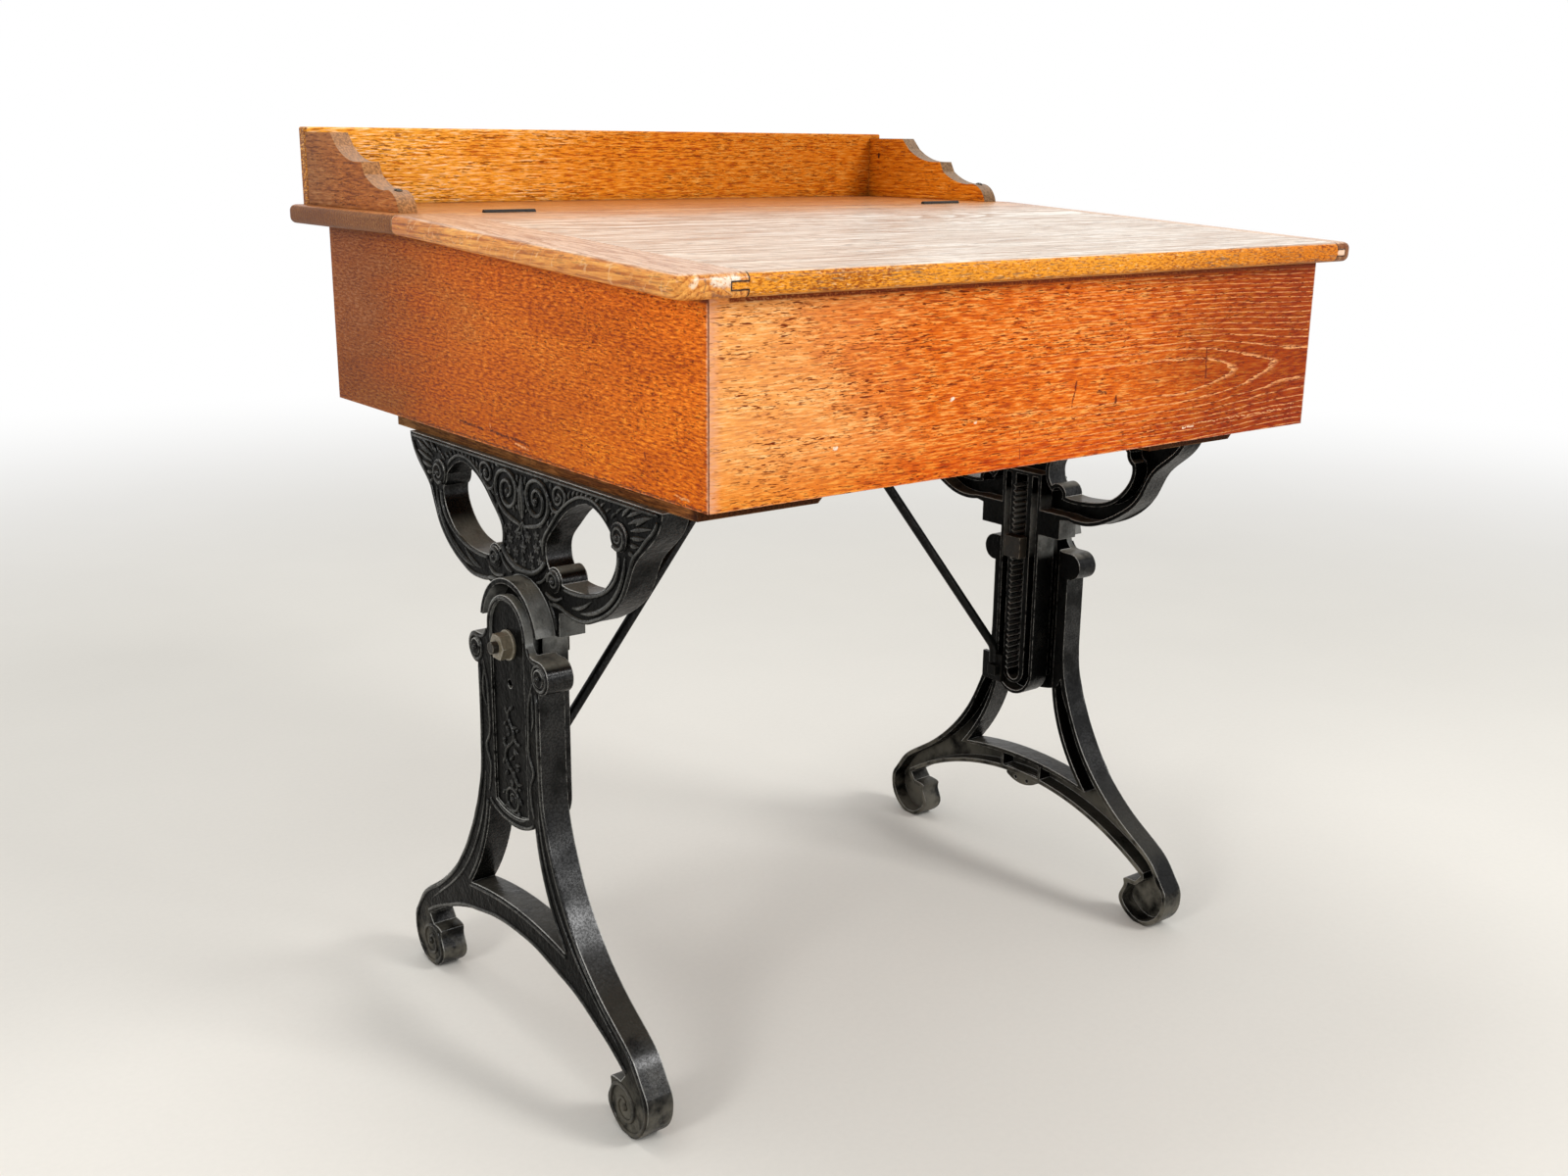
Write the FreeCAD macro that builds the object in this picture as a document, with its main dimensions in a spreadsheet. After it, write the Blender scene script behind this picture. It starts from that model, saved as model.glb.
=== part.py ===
import FreeCAD, Part
import math
import os
import Sketcher

# School desk: an oak box with a sloping lid, a flat rail and a stepped gallery, on two cast iron
# stands whose lower legs slide on toothed tongues and are clamped by one bolt each.
# Frame: X to the sitter's right, the front faces -Y, Z up, origin on the floor under the middle.

os.makedirs("parts", exist_ok=True)
Vec = FreeCAD.Vector
doc = FreeCAD.newDocument("SchoolDesk")

size_groups = {
    # Box of the desk
    "box_width": 700,
    "box_depth": 660,
    "box_back_height": 175,
    "box_underside": 578,
    "board_thickness": 18,
    "bottom_thickness": 12,
    "lid_slope_degrees": 2.7,
    # Top rail and lid
    "top_side_overhang": 35,
    "top_thickness": 18,
    "rail_depth": 244,
    "rail_overhang": 20,
    "lid_overhang": 16,
    "joint_gap": 1.5,
    "lid_seat_gap": 0.3,
    "edge_rounding": 6,
    "corner_rounding": 11,
    "left_clamp_width": 59,
    "right_clamp_width": 25,
    "left_tenon_length": 15,
    "right_tenon_length": 11,
    "tenon_thickness": 6,
    # Gallery
    "gallery_thickness": 18,
    "gallery_height": 74,
    "gallery_side_inset": 15,
    "gallery_back_inset": 5,
    "gallery_rounding": 4,
    "gallery_nose_setback": 15,
    "gallery_bracket_height": 69,
    # Battens under the box
    "batten_width": 125,
    "batten_thickness": 20,
    "batten_side_inset": 29,
    "batten_front_inset": 56,
    "batten_back_inset": 70,
    "batten_chamfer": 8,
    "batten_end_rounding": 6,
    # Butt hinges
    "hinge_length": 53,
    "hinge_inset": 57.5,
    "hinge_end_clearance": 0.3,
    "leaf_thickness": 2.2,
    "leaf_height": 15,
    "leaf_drop": 0.5,
    "knuckle_radius": 2.6,
    "knuckle_gap": 0.3,
    "knuckle_clearance": 0.3,
    "pin_radius": 1.2,
    "pin_clearance": 0.05,
    # Stands, shared places
    "iron_forward": 3,
    "iron_depth": 26,
    "leg_inset": 2,
    "slide_clearance": 0.3,
    "iron_wall": 5,
    "iron_web": 8,
    # Lower leg
    "foot_overreach": 1,
    "panel_arch_radius": 36,
    "arch_rise": 2,
    "panel_shoulder": 7,
    "panel_plate": 8,
    "panel_field_depth": 2.5,
    "panel_field_margin": 5,
    "rail_width": 14,
    "lug_drop": 26,
    "lug_overhang": 2,
    "lug_radius": 15,
    "lug_button_radius": 8,
    "lug_button_proud": 1.5,
    "guide_inset": 9,
    "guide_width": 4,
    "guide_margin": 20,
    "arch_rib_half_spacing": 30,
    "arch_rib_width": 3,
    "tab_half_width": 24,
    "tab_drop": 12,
    "tab_thickness": 5,
    "tab_hole_radius": 2.2,
    "tab_hole_half_spacing": 9,
    "spare_hole_pitch": 37,
    "spare_hole_radius": 4,
    # Upper bracket
    "flange_inset": 42,
    "bracket_drop": 120,
    "volute_radius": 14,
    "curl_radius": 12.5,
    "bracket_wall": 4.5,
    "hood_inset": 4,
    "hood_neck": 32,
    "hood_room": 12,
    "hood_thickness": 5,
    "hood_reach": 19,
    "hood_end_rise": 10,
    "hood_shoulder_width": 7,
    # Toothed tongue
    "tongue_side_room": 14,
    "tongue_dip": 13,
    "slot_half_width": 9,
    "slot_wall": 4,
    "slot_foot": 17,
    "slot_headroom": 16,
    "tooth_pitch": 6.5,
    "tooth_depth": 3,
    "tooth_margin": 6,
    # Clamp bolt, washer and nut
    "bolt_drop": 10,
    "bolt_radius": 5.5,
    "bolt_clearance": 0.5,
    "bolt_boss_radius": 11,
    "bolt_head_width": 24,
    "bolt_head_height": 11,
    "bolt_end": 6,
    "washer_radius": 14,
    "washer_thickness": 2.5,
    "nut_width": 22,
    "nut_height": 10,
    # Braces
    "brace_radius": 5,
    "brace_offset": 27,
    "brace_meeting": 50,
    "brace_foot_rise": 10,
    "brace_foot_height": 32,
    "brace_foot_inner": 14,
    "brace_foot_outer": 44,
    "brace_bend_rise": 8,
    "brace_bend_radius": 20,
    "brace_plate_thickness": 5,
    "brace_top_length": 36,
    "brace_top_width": 24,
    "brace_bolt_width": 12,
    "brace_bolt_height": 7,
    "brace_bolt_offset": 23,
    "brace_bolt_rise": 14,
    # One overrun for every cut
    "overrun": 5,
}

sheet = doc.addObject("Spreadsheet::Sheet", "sizes")
for row, (name, number) in enumerate(size_groups.items(), start=1):
    sheet.set(f"A{row}", name)
    sheet.set(f"B{row}", str(number))
    sheet.setAlias(f"B{row}", name)
doc.recompute()


def size(name):
    return float(sheet.get(name))


# Places that several pieces share, as expressions of the sheet
front_edge = "(-(sizes.box_depth + sizes.lid_overhang + sizes.rail_overhang) / 2)"
box_front = f"({front_edge} + sizes.lid_overhang)"
rail_run = "(sizes.box_depth + sizes.rail_overhang - sizes.rail_depth)"
hinge_line = f"({box_front} + {rail_run})"
rail_underside = "(sizes.box_underside + sizes.box_back_height)"
top_face = f"({rail_underside} + sizes.top_thickness)"
slope = "(sizes.lid_slope_degrees * 1deg)"
axis_line = f"({hinge_line} - sizes.joint_gap / 2)"
half_top = "(sizes.box_width / 2 + sizes.top_side_overhang)"
hinge_place = f"({half_top} - sizes.left_clamp_width - sizes.hinge_inset)"
batten_length = "(sizes.box_depth - sizes.batten_front_inset - sizes.batten_back_inset)"

# The same places as numbers, for the shapes that are made from curves
box_front_y = -(size("box_depth") + size("lid_overhang") + size("rail_overhang")) / 2 + size("lid_overhang")
top_reach = size("box_width") / 2 + size("top_side_overhang")
batten_run = size("box_depth") - size("batten_front_inset") - size("batten_back_inset")
iron_y = box_front_y + size("batten_front_inset") + batten_run / 2 - size("iron_forward")
side_x = size("box_width") / 2

# Depths of a stand, inwards from the box's side
bracket_x = size("hood_inset") + size("hood_reach")
bracket_back_x = bracket_x + size("iron_depth")
leg_back_x = size("leg_inset") + size("iron_depth")
panel_back_x = size("leg_inset") + size("panel_plate")
panel_field_x = size("leg_inset") + size("panel_field_depth")

# Half widths of a stand, from its middle
flange_half = batten_run / 2 - size("flange_inset")
leg_half = flange_half + size("foot_overreach")
rail_inner = size("panel_arch_radius") + size("panel_shoulder")
rail_outer = rail_inner + size("rail_width")
lug_offset = rail_outer + size("lug_overhang")
hood_radius = size("panel_arch_radius") + size("hood_room") + size("hood_thickness")
hood_shoulder = hood_radius + size("hood_shoulder_width")
tongue_half = rail_inner - size("tongue_side_room")
foot_inner_share = 0.7124
arch_end_span_share = 0.8407
opening_foot_span_share = 0.4027

# Heights of a stand: the bracket hangs from the flange, the leg's head sits under its hood, and
# the rest of the leg is in shares of the lugs' height
flange_top = size("box_underside") - size("batten_thickness")
neck_level = flange_top - size("bracket_drop")
hood_level = neck_level - size("hood_neck")
arch_level = hood_level + size("arch_rise")
lug_level = arch_level - size("lug_drop")
bolt_level = arch_level - size("bolt_drop")
spare_level = bolt_level - size("spare_hole_pitch")
apron_corner_share = 0.6152
apron_low_share = 0.5838
arch_top_share = 0.3665
opening_foot_share = 0.3429
arch_under_share = 0.301
arch_end_share = 0.1492
foot_height_share = 0.123
apron_level = lug_level * apron_corner_share
apron_low = lug_level * apron_low_share
arch_top = lug_level * arch_top_share
arch_under_level = lug_level * arch_under_share
foot_height = lug_level * foot_height_share
tongue_low = apron_level - size("tongue_dip")
slot_low = tongue_low + size("slot_foot")
slot_open_high = bolt_level + size("slot_headroom")
blind_slot_share = 0.65
slot_blind_high = flange_top - size("bracket_drop") * blind_slot_share


def place(piece, x="0", y="0", z="0"):
    piece.setExpression(".Placement.Base.x", x)
    piece.setExpression(".Placement.Base.y", y)
    piece.setExpression(".Placement.Base.z", z)


def tilt(piece, angle):
    piece.Placement = FreeCAD.Placement(Vec(), FreeCAD.Rotation(Vec(1, 0, 0), 1))
    piece.setExpression(".Placement.Rotation.Angle", angle)


def origin_plane(body, role):
    return next(plane for plane in body.Origin.OriginFeatures if plane.Role == role)


def polygon_sketch(body, role, outline):
    sketch = body.newObject("Sketcher::SketchObject", f"{body.Name}_outline")
    sketch.AttachmentSupport = [(origin_plane(body, role), "")]
    sketch.MapMode = "FlatFace"
    count = len(outline)
    turn = 2 * math.pi / count
    ring = [Vec(math.cos(turn * step), math.sin(turn * step)) for step in range(count)]
    for step in range(count):
        sketch.addGeometry(Part.LineSegment(ring[step], ring[(step + 1) % count]))
    for step in range(count):
        sketch.addConstraint(Sketcher.Constraint("Coincident", step, 2, (step + 1) % count, 1))
    for step, (across, along) in enumerate(outline):
        spots = (("DistanceX", ring[step].x, across), ("DistanceY", ring[step].y, along))
        for kind, start, expression in spots:
            index = sketch.addConstraint(Sketcher.Constraint(kind, -1, 1, step, 1, start))
            sketch.setExpression(f"Constraints[{index}]", expression)
    return sketch


def padded_body(label, role, outline, thickness, both_ways=False):
    body = doc.addObject("PartDesign::Body", label)
    body.Label = label
    pad = body.newObject("PartDesign::Pad", f"{label}_pad")
    pad.Profile = polygon_sketch(body, role, outline)
    pad.Midplane = both_ways
    pad.setExpression("Length", thickness)
    doc.recompute()
    return body


def pocket_through(body, role, outline):
    before = body.Shape.Volume
    pocket = body.newObject("PartDesign::Pocket", f"{body.Name}_pocket")
    pocket.Profile = polygon_sketch(body, role, outline)
    pocket.Type = "ThroughAll"
    pocket.Midplane = True
    doc.recompute()
    if body.Shape.Volume >= before:
        raise RuntimeError(f"{body.Label}: the pocket cut nothing")
    return pocket


def round_edges(body, chosen, radius, kind="Fillet"):
    names = [f"Edge{index}" for index, edge in enumerate(body.Shape.Edges, start=1) if chosen(edge)]
    feature = body.newObject(f"PartDesign::{kind}", f"{body.Name}_{kind.lower()}")
    feature.Base = (body.Tip if body.Tip != feature else feature.BaseFeature, names)
    feature.setExpression("Radius" if kind == "Fillet" else "Size", radius)
    doc.recompute()
    return feature


def box(label, length, width, height, x="0", y="0", z="0"):
    piece = doc.addObject("Part::Box", label)
    piece.Label = label
    piece.setExpression("Length", length)
    piece.setExpression("Width", width)
    piece.setExpression("Height", height)
    place(piece, x, y, z)
    return piece


def along(edge, axis):
    bounds = edge.BoundBox
    spans = {"x": bounds.XLength, "y": bounds.YLength, "z": bounds.ZLength}
    length = spans.pop(axis)
    return length > 0 and all(other < length / 1000 for other in spans.values())


# Box of the desk

seat_height = (
    "(sizes.box_back_height + sizes.top_thickness * (1 - 1 / cos(%s)) - sizes.lid_seat_gap / cos(%s)"
    " - (%%s) * tan(%s))" % (slope, slope, slope)
)


def cut_to_slope(body):
    pocket_through(body, "YZ_Plane", [
        ("-sizes.overrun", seat_height % f"{rail_run} + sizes.overrun"),
        (rail_run, seat_height % "0"),
        (rail_run, "sizes.box_back_height + sizes.overrun"),
        ("-sizes.overrun", "sizes.box_back_height + sizes.overrun"),
    ])


def front_board():
    body = padded_body("front_board", "XY_Plane", [
        ("-sizes.box_width / 2", "0"),
        ("sizes.box_width / 2", "0"),
        ("sizes.box_width / 2 - sizes.board_thickness", "sizes.board_thickness"),
        ("-sizes.box_width / 2 + sizes.board_thickness", "sizes.board_thickness"),
    ], "sizes.box_back_height")
    cut_to_slope(body)
    place(body, "0", box_front, "sizes.box_underside")
    return body


def side_board(label, side):
    body = padded_body(label, "XY_Plane", [
        (f"{side} * sizes.box_width / 2", "0"),
        (f"{side} * sizes.box_width / 2", "sizes.box_depth"),
        (f"{side} * (sizes.box_width / 2 - sizes.board_thickness)", "sizes.box_depth"),
        (f"{side} * (sizes.box_width / 2 - sizes.board_thickness)", "sizes.board_thickness"),
    ], "sizes.box_back_height")
    cut_to_slope(body)
    place(body, "0", box_front, "sizes.box_underside")
    return body


def back_and_bottom():
    inner_left = "-sizes.box_width / 2 + sizes.board_thickness"
    inner_width = "sizes.box_width - 2 * sizes.board_thickness"
    inner_depth = "sizes.box_depth - 2 * sizes.board_thickness"
    back = box("back_board", inner_width, "sizes.board_thickness", "sizes.box_back_height",
               inner_left, f"{box_front} + sizes.box_depth - sizes.board_thickness", "sizes.box_underside")
    bottom = box("bottom_board", inner_width, inner_depth, "sizes.bottom_thickness",
                 inner_left, f"{box_front} + sizes.board_thickness", "sizes.box_underside")
    return [back, bottom]


# Top rail and lid, both with round outer edges and let in for the hinge leaves

def hinge_recesses(body, into):
    for side in (-1, 1):
        middle = f"{side} * {hinge_place}"
        reach = "(sizes.hinge_length / 2 + sizes.hinge_end_clearance)"
        before = body.Shape.Volume
        pocket = body.newObject("PartDesign::Pocket", f"{body.Name}_recess")
        pocket.Profile = polygon_sketch(body, "XY_Plane", [
            (f"{middle} - {reach}", f"-{into} * sizes.joint_gap"),
            (f"{middle} + {reach}", f"-{into} * sizes.joint_gap"),
            (f"{middle} + {reach}", f"{into} * (sizes.joint_gap / 2 + sizes.leaf_thickness)"),
            (f"{middle} - {reach}", f"{into} * (sizes.joint_gap / 2 + sizes.leaf_thickness)"),
        ])
        pocket.setExpression("Length", "sizes.leaf_height + sizes.leaf_drop")
        pocket.Reversed = False
        doc.recompute()
        if body.Shape.Volume >= before:
            raise RuntimeError(f"{body.Label}: the hinge recess cut nothing")


def top_rail():
    half = half_top
    edge = "sizes.joint_gap / 2"
    body = padded_body("top_rail", "XY_Plane", [
        (f"-{half}", edge),
        (half, edge),
        (half, f"{edge} + sizes.rail_depth"),
        (f"-{half}", f"{edge} + sizes.rail_depth"),
    ], "sizes.top_thickness")
    body.Tip.Reversed = True
    doc.recompute()
    front = size("joint_gap") / 2
    back = front + size("rail_depth")
    round_edges(body, lambda e: along(e, "z") and abs(e.BoundBox.YMin - back) < size("joint_gap"),
                "sizes.corner_rounding")
    round_edges(body, lambda e: not along(e, "z") and e.BoundBox.YMax > front + size("joint_gap"),
                "sizes.edge_rounding")
    hinge_recesses(body, 1)
    place(body, "0", axis_line, top_face)
    return body


lid_length = f"(({rail_run} + sizes.lid_overhang) / cos({slope}) - sizes.joint_gap)"
panel_left = f"(-{half_top} + sizes.left_clamp_width)"
panel_right = f"({half_top} - sizes.right_clamp_width)"
tenon_top = "((sizes.top_thickness - sizes.tenon_thickness) / 2)"
lid_back = "(-sizes.joint_gap / 2)"
lid_front = f"({lid_back} - {lid_length})"


def lid_front_y():
    run = size("box_depth") + size("rail_overhang") - size("rail_depth") + size("lid_overhang")
    return size("joint_gap") / 2 - run / math.cos(math.radians(size("lid_slope_degrees")))


def seat_lid_piece(body):
    tilt(body, slope)
    place(body, "0", axis_line, top_face)


def round_lid(body, outer_end):
    front = lid_front_y()
    reach = size("joint_gap")

    def at_corner(edge):
        bounds = edge.BoundBox
        return along(edge, "z") and abs(bounds.YMin - front) < reach and abs(bounds.XMin - outer_end) < reach

    def on_outside(edge):
        bounds = edge.BoundBox
        if along(edge, "z"):
            return False
        skin = bounds.ZMax > -reach or bounds.ZMin < reach - size("top_thickness")
        at_front = bounds.YMin < front + reach and bounds.YMax < front + 2 * size("corner_rounding")
        at_end = outer_end and abs((bounds.XMin + bounds.XMax) / 2 - outer_end) < size("corner_rounding")
        return skin and bounds.ZLength < reach and (at_front or at_end)

    if outer_end:
        round_edges(body, at_corner, "sizes.corner_rounding")
    round_edges(body, on_outside, "sizes.edge_rounding")


def lid_panel():
    body = padded_body("lid_panel", "XY_Plane", [
        (f"{panel_left} - sizes.left_tenon_length", lid_front),
        (f"{panel_right} + sizes.right_tenon_length", lid_front),
        (f"{panel_right} + sizes.right_tenon_length", lid_back),
        (f"{panel_left} - sizes.left_tenon_length", lid_back),
    ], "sizes.top_thickness")
    body.Tip.Reversed = True
    doc.recompute()
    round_lid(body, 0)
    ends = (
        (panel_left, f"{panel_left} - sizes.left_tenon_length - sizes.overrun"),
        (panel_right, f"{panel_right} + sizes.right_tenon_length + sizes.overrun"),
    )
    for shoulder, tip in ends:
        for low, high in (("-sizes.top_thickness - sizes.overrun", f"-sizes.top_thickness + {tenon_top}"),
                          (f"-{tenon_top}", "sizes.overrun")):
            pocket_through(body, "XZ_Plane", [(shoulder, low), (tip, low), (tip, high), (shoulder, high)])
    hinge_recesses(body, -1)
    seat_lid_piece(body)
    return body


def lid_clamp(label, outer, shoulder, tenon):
    body = padded_body(label, "XY_Plane", [
        (outer, lid_front), (shoulder, lid_front), (shoulder, lid_back), (outer, lid_back),
    ], "sizes.top_thickness")
    body.Tip.Reversed = True
    doc.recompute()
    side = -1 if "left" in label else 1
    round_lid(body, side * top_reach)
    pocket_through(body, "XZ_Plane", [
        (f"{shoulder} - {side} * sizes.overrun", f"-sizes.top_thickness + {tenon_top}"),
        (f"{shoulder} + {side} * {tenon}", f"-sizes.top_thickness + {tenon_top}"),
        (f"{shoulder} + {side} * {tenon}", f"-{tenon_top}"),
        (f"{shoulder} - {side} * sizes.overrun", f"-{tenon_top}"),
    ])
    seat_lid_piece(body)
    return body


# Gallery

def gallery_back():
    half = f"({half_top} - sizes.gallery_side_inset)"
    rear = f"({front_edge} * -1 - sizes.gallery_back_inset)"
    body = padded_body("gallery_back", "XY_Plane", [
        (f"-{half}", "-sizes.gallery_thickness"),
        (half, "-sizes.gallery_thickness"),
        (half, "0"),
        (f"-{half}", "0"),
    ], "sizes.gallery_height")
    top = size("gallery_height")
    round_edges(body, lambda e: along(e, "z"), "sizes.gallery_rounding")
    round_edges(body, lambda e: e.BoundBox.ZMin > top / 2, "sizes.gallery_rounding / 2")
    place(body, "0", rear, top_face)
    return body


# Profile of a gallery bracket, as shares of its length from the back and of its height:
# knee, hollow and step, then the second knee and hollow, and the nose
gallery_top_end_share = 0.296
gallery_knee_shares = [(0.354, 0.826), (0.655, 0.464)]
gallery_hollow_shares = [(0.451, 0.681), (0.752, 0.326)]
gallery_step_shares = [(0.558, 0.623), (0.864, 0.275)]
gallery_step_end_share = 0.626
gallery_nose_share = (0.962, 0.2)


def gallery_bracket(label, side):
    length = size("rail_depth") - size("gallery_back_inset") - size("gallery_nose_setback")
    length -= size("gallery_thickness")
    height = size("gallery_bracket_height")

    def at(share):
        return Vec(0, -share[0] * length, share[1] * height)

    edges = [Part.makeLine(at((0, 1)), at((gallery_top_end_share, 1)))]
    start = (gallery_top_end_share, 1)
    for knee, hollow, step in zip(gallery_knee_shares, gallery_hollow_shares, gallery_step_shares):
        edges.append(Part.makeLine(at(start), at(knee)))
        edges.append(Part.Arc(at(knee), at(hollow), at(step)).toShape())
        start = (gallery_step_end_share, step[1])
        if step is gallery_step_shares[0]:
            edges.append(Part.makeLine(at(step), at(start)))
    edges.append(Part.Arc(at(gallery_step_shares[1]), at(gallery_nose_share), at((1, 0))).toShape())
    edges.append(Part.makeLine(at((1, 0)), at((0, 0))))
    edges.append(Part.makeLine(at((0, 0)), at((0, 1))))
    thickness = size("gallery_thickness")
    solid = Part.Face(Part.Wire(edges)).extrude(Vec(thickness, 0, 0))
    piece = doc.addObject("Part::Feature", label)
    piece.Label = label
    piece.Shape = solid
    reach = top_reach - size("gallery_side_inset")
    rear = -box_front_y + size("lid_overhang") - size("gallery_back_inset")
    rail_top = size("box_underside") + size("box_back_height") + size("top_thickness")
    left = -reach if side < 0 else reach - thickness
    piece.Placement = FreeCAD.Placement(Vec(left, rear - thickness, rail_top), FreeCAD.Rotation())
    return piece


# Battens

def batten(label, side):
    width = "sizes.batten_width"
    body = padded_body(label, "XY_Plane", [
        ("0", "0"), (width, "0"), (width, batten_length), ("0", batten_length),
    ], "sizes.batten_thickness")
    right = size("batten_width")
    half_thickness = size("batten_thickness") / 2

    def at_low_right(edge):
        bounds = edge.BoundBox
        return along(edge, "y") and bounds.ZMax < half_thickness and bounds.XMin > right / 2

    round_edges(body, at_low_right, "sizes.batten_chamfer", "Chamfer")

    def at_back_end(edge):
        return along(edge, "z") and edge.BoundBox.YMin > batten_run / 2

    round_edges(body, at_back_end, "sizes.batten_end_rounding")
    left = "-sizes.box_width / 2 + sizes.batten_side_inset"
    if side > 0:
        left = "sizes.box_width / 2 - sizes.batten_side_inset - sizes.batten_width"
    front = f"{box_front} + sizes.batten_front_inset"
    place(body, left, front, "sizes.box_underside - sizes.batten_thickness")
    return body


# Butt hinges: three knuckles on the rail's leaf, two on the lid's leaf, one pin

knuckle_count = 5


def knuckle_span(index):
    pitch = size("hinge_length") / knuckle_count
    return index * pitch + size("knuckle_gap") / 2, pitch - size("knuckle_gap")


def rod(start, length, radius):
    return Part.makeCylinder(radius, length, start, Vec(1, 0, 0))


def hinge_leaf(label, side, rail_side):
    into = 1 if rail_side else -1
    gap = size("joint_gap") / 2
    thickness = size("leaf_thickness")
    inner = gap if rail_side else -gap - thickness
    low = -size("leaf_height")
    plate = Part.makeBox(size("hinge_length"), thickness, size("leaf_height"), Vec(0, inner, low))
    shape = plate
    bore = size("pin_radius") + (0 if rail_side else size("pin_clearance"))
    for index in range(knuckle_count):
        start, length = knuckle_span(index)
        mine = (index % 2 == 0) == rail_side
        if mine:
            web = Part.makeBox(length, abs(into * gap + into * thickness), size("knuckle_radius"),
                               Vec(start, min(0, into * (gap + thickness)), -size("knuckle_radius")))
            shape = shape.fuse([rod(Vec(start, 0, 0), length, size("knuckle_radius")), web])
        else:
            pitch = size("hinge_length") / knuckle_count
            room = size("knuckle_radius") + size("knuckle_clearance")
            shape = shape.cut(rod(Vec(index * pitch - size("knuckle_gap") / 2, 0, 0),
                                  pitch + size("knuckle_gap"), room))
    shape = shape.cut(rod(Vec(-size("overrun"), 0, 0), size("hinge_length") + 2 * size("overrun"), bore))
    shape = shape.removeSplitter()
    return hinge_part(label, side, shape, not rail_side)


def hinge_part(label, side, shape, on_lid):
    piece = doc.addObject("Part::Feature", label)
    piece.Label = label
    piece.Shape = shape
    x = side * (top_reach - size("left_clamp_width") - size("hinge_inset")) - size("hinge_length") / 2
    y = box_front_y + size("box_depth") + size("rail_overhang") - size("rail_depth") - size("joint_gap") / 2
    z = size("box_underside") + size("box_back_height") + size("top_thickness")
    angle = size("lid_slope_degrees") if on_lid else 0
    piece.Placement = FreeCAD.Placement(Vec(x, y, z), FreeCAD.Rotation(Vec(1, 0, 0), angle))
    return piece


def hinge(name, side):
    pin = rod(Vec(), size("hinge_length"), size("pin_radius"))
    return [
        hinge_leaf(f"hinge_leaf_rail_{name}", side, True),
        hinge_leaf(f"hinge_leaf_lid_{name}", side, False),
        hinge_part(f"hinge_pin_{name}", side, pin, False),
    ]


# Curves of the castings, in the plane of a stand: u runs from its middle towards the back, z up

def point(u, z):
    return Vec(0, u, z)


def curve_through(points, tangents=(), closed=False):
    curve = Part.BSplineCurve()
    if tangents:
        curve.interpolate(Points=points, InitialTangent=tangents[0], FinalTangent=tangents[1])
    else:
        curve.interpolate(Points=points, PeriodicFlag=closed)
    return curve


def spline(points, tangents=()):
    return curve_through(points, tangents).toShape()


def sideways(points, amount, tangents=(), closed=False):
    # Each point moved by the amount to the left of the curve's run, seen from +X
    curve = curve_through(points, tangents, closed)
    moved = []
    for spot in points:
        run = curve.tangent(curve.parameter(spot))[0]
        moved.append(spot + Vec(1, 0, 0).cross(run).normalize() * amount)
    return moved


def corner(spot, first_normal, second_normal, amount):
    # The corner of two edges that both move by the amount along their normals
    scale = first_normal.y * second_normal.z - first_normal.z * second_normal.y
    across = amount * (second_normal.z - first_normal.z) / scale
    up = amount * (first_normal.y - second_normal.y) / scale
    return spot + point(across, up)


def arc(first, middle, last):
    return Part.Arc(first, middle, last).toShape()


def polygon(points):
    return Part.Face(Part.makePolygon(points + points[:1]))


def both_sides(edges):
    mirrored = [edge.mirror(Vec(), Vec(0, 1, 0)) for edge in edges]
    return edges + mirrored


def closed_face(edges):
    return Part.Face(Part.Wire(Part.__sortEdges__(edges)))


def thick(region, start, end):
    solids = [face.extrude(Vec(end - start, 0, 0)) for face in region.Faces]
    solid = solids[0].fuse(solids[1:]) if len(solids) > 1 else solids[0]
    solid.translate(Vec(start, 0, 0))
    return solid


def disc(u, z, radius, start, end):
    return rod(Vec(start, u, z), end - start, radius)


def block(half_width, low, high, start, end):
    return Part.makeBox(end - start, 2 * half_width, high - low, Vec(start, -half_width, low))


# Outer edge of a leg from the lug to the foot: shares of the way out from the rail to the foot's
# tip, and of the lug's height
rail_outer_shares = [(0, 0.96), (0, 0.809), (0.024, 0.654), (0.089, 0.568), (0.195, 0.471), (0.432, 0.343),
                     (0.598, 0.283), (0.763, 0.236), (0.876, 0.196), (0.953, 0.149), (1, 0.0995)]
# Scroll foot: shares of the way from its inner reach to its tip, and of its height
foot_shares = [(0.87, 0.27), (0.52, -0.02), (0.17, 0.13), (0, 0.5), (0.09, 0.85), (0.33, 1.02)]
# How far down its curve the panel's shoulder is at half its width
flare_share = 0.625
# Inner edge of a rail beside the opening: shares of the way out and down
opening_shares = [(0, 0), (0.17, 0.337), (0.468, 0.644), (1, 1)]


def leg_outer_points():
    reach = leg_half - rail_outer
    return [point(rail_outer + u * reach, z * lug_level) for u, z in rail_outer_shares]


def foot_points():
    inner = leg_half * foot_inner_share
    width = leg_half - inner
    return [leg_outer_points()[-1]] + [point(inner + u * width, z * foot_height) for u, z in foot_shares]


down = point(0, -1)
outward = point(1, 0)


def arch_under(rise=0):
    end = point(leg_half * arch_end_span_share, lug_level * arch_end_share)
    crown = point(0, arch_under_level)
    radius = (end.y ** 2 + (crown.z - end.z) ** 2) / (crown.z - end.z) / 2
    tilt_share = end.y / radius
    end += point(rise * tilt_share, rise * math.sqrt(1 - tilt_share ** 2))
    return arc(end, crown + point(0, rise), point(-end.y, end.z)), end


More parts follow.
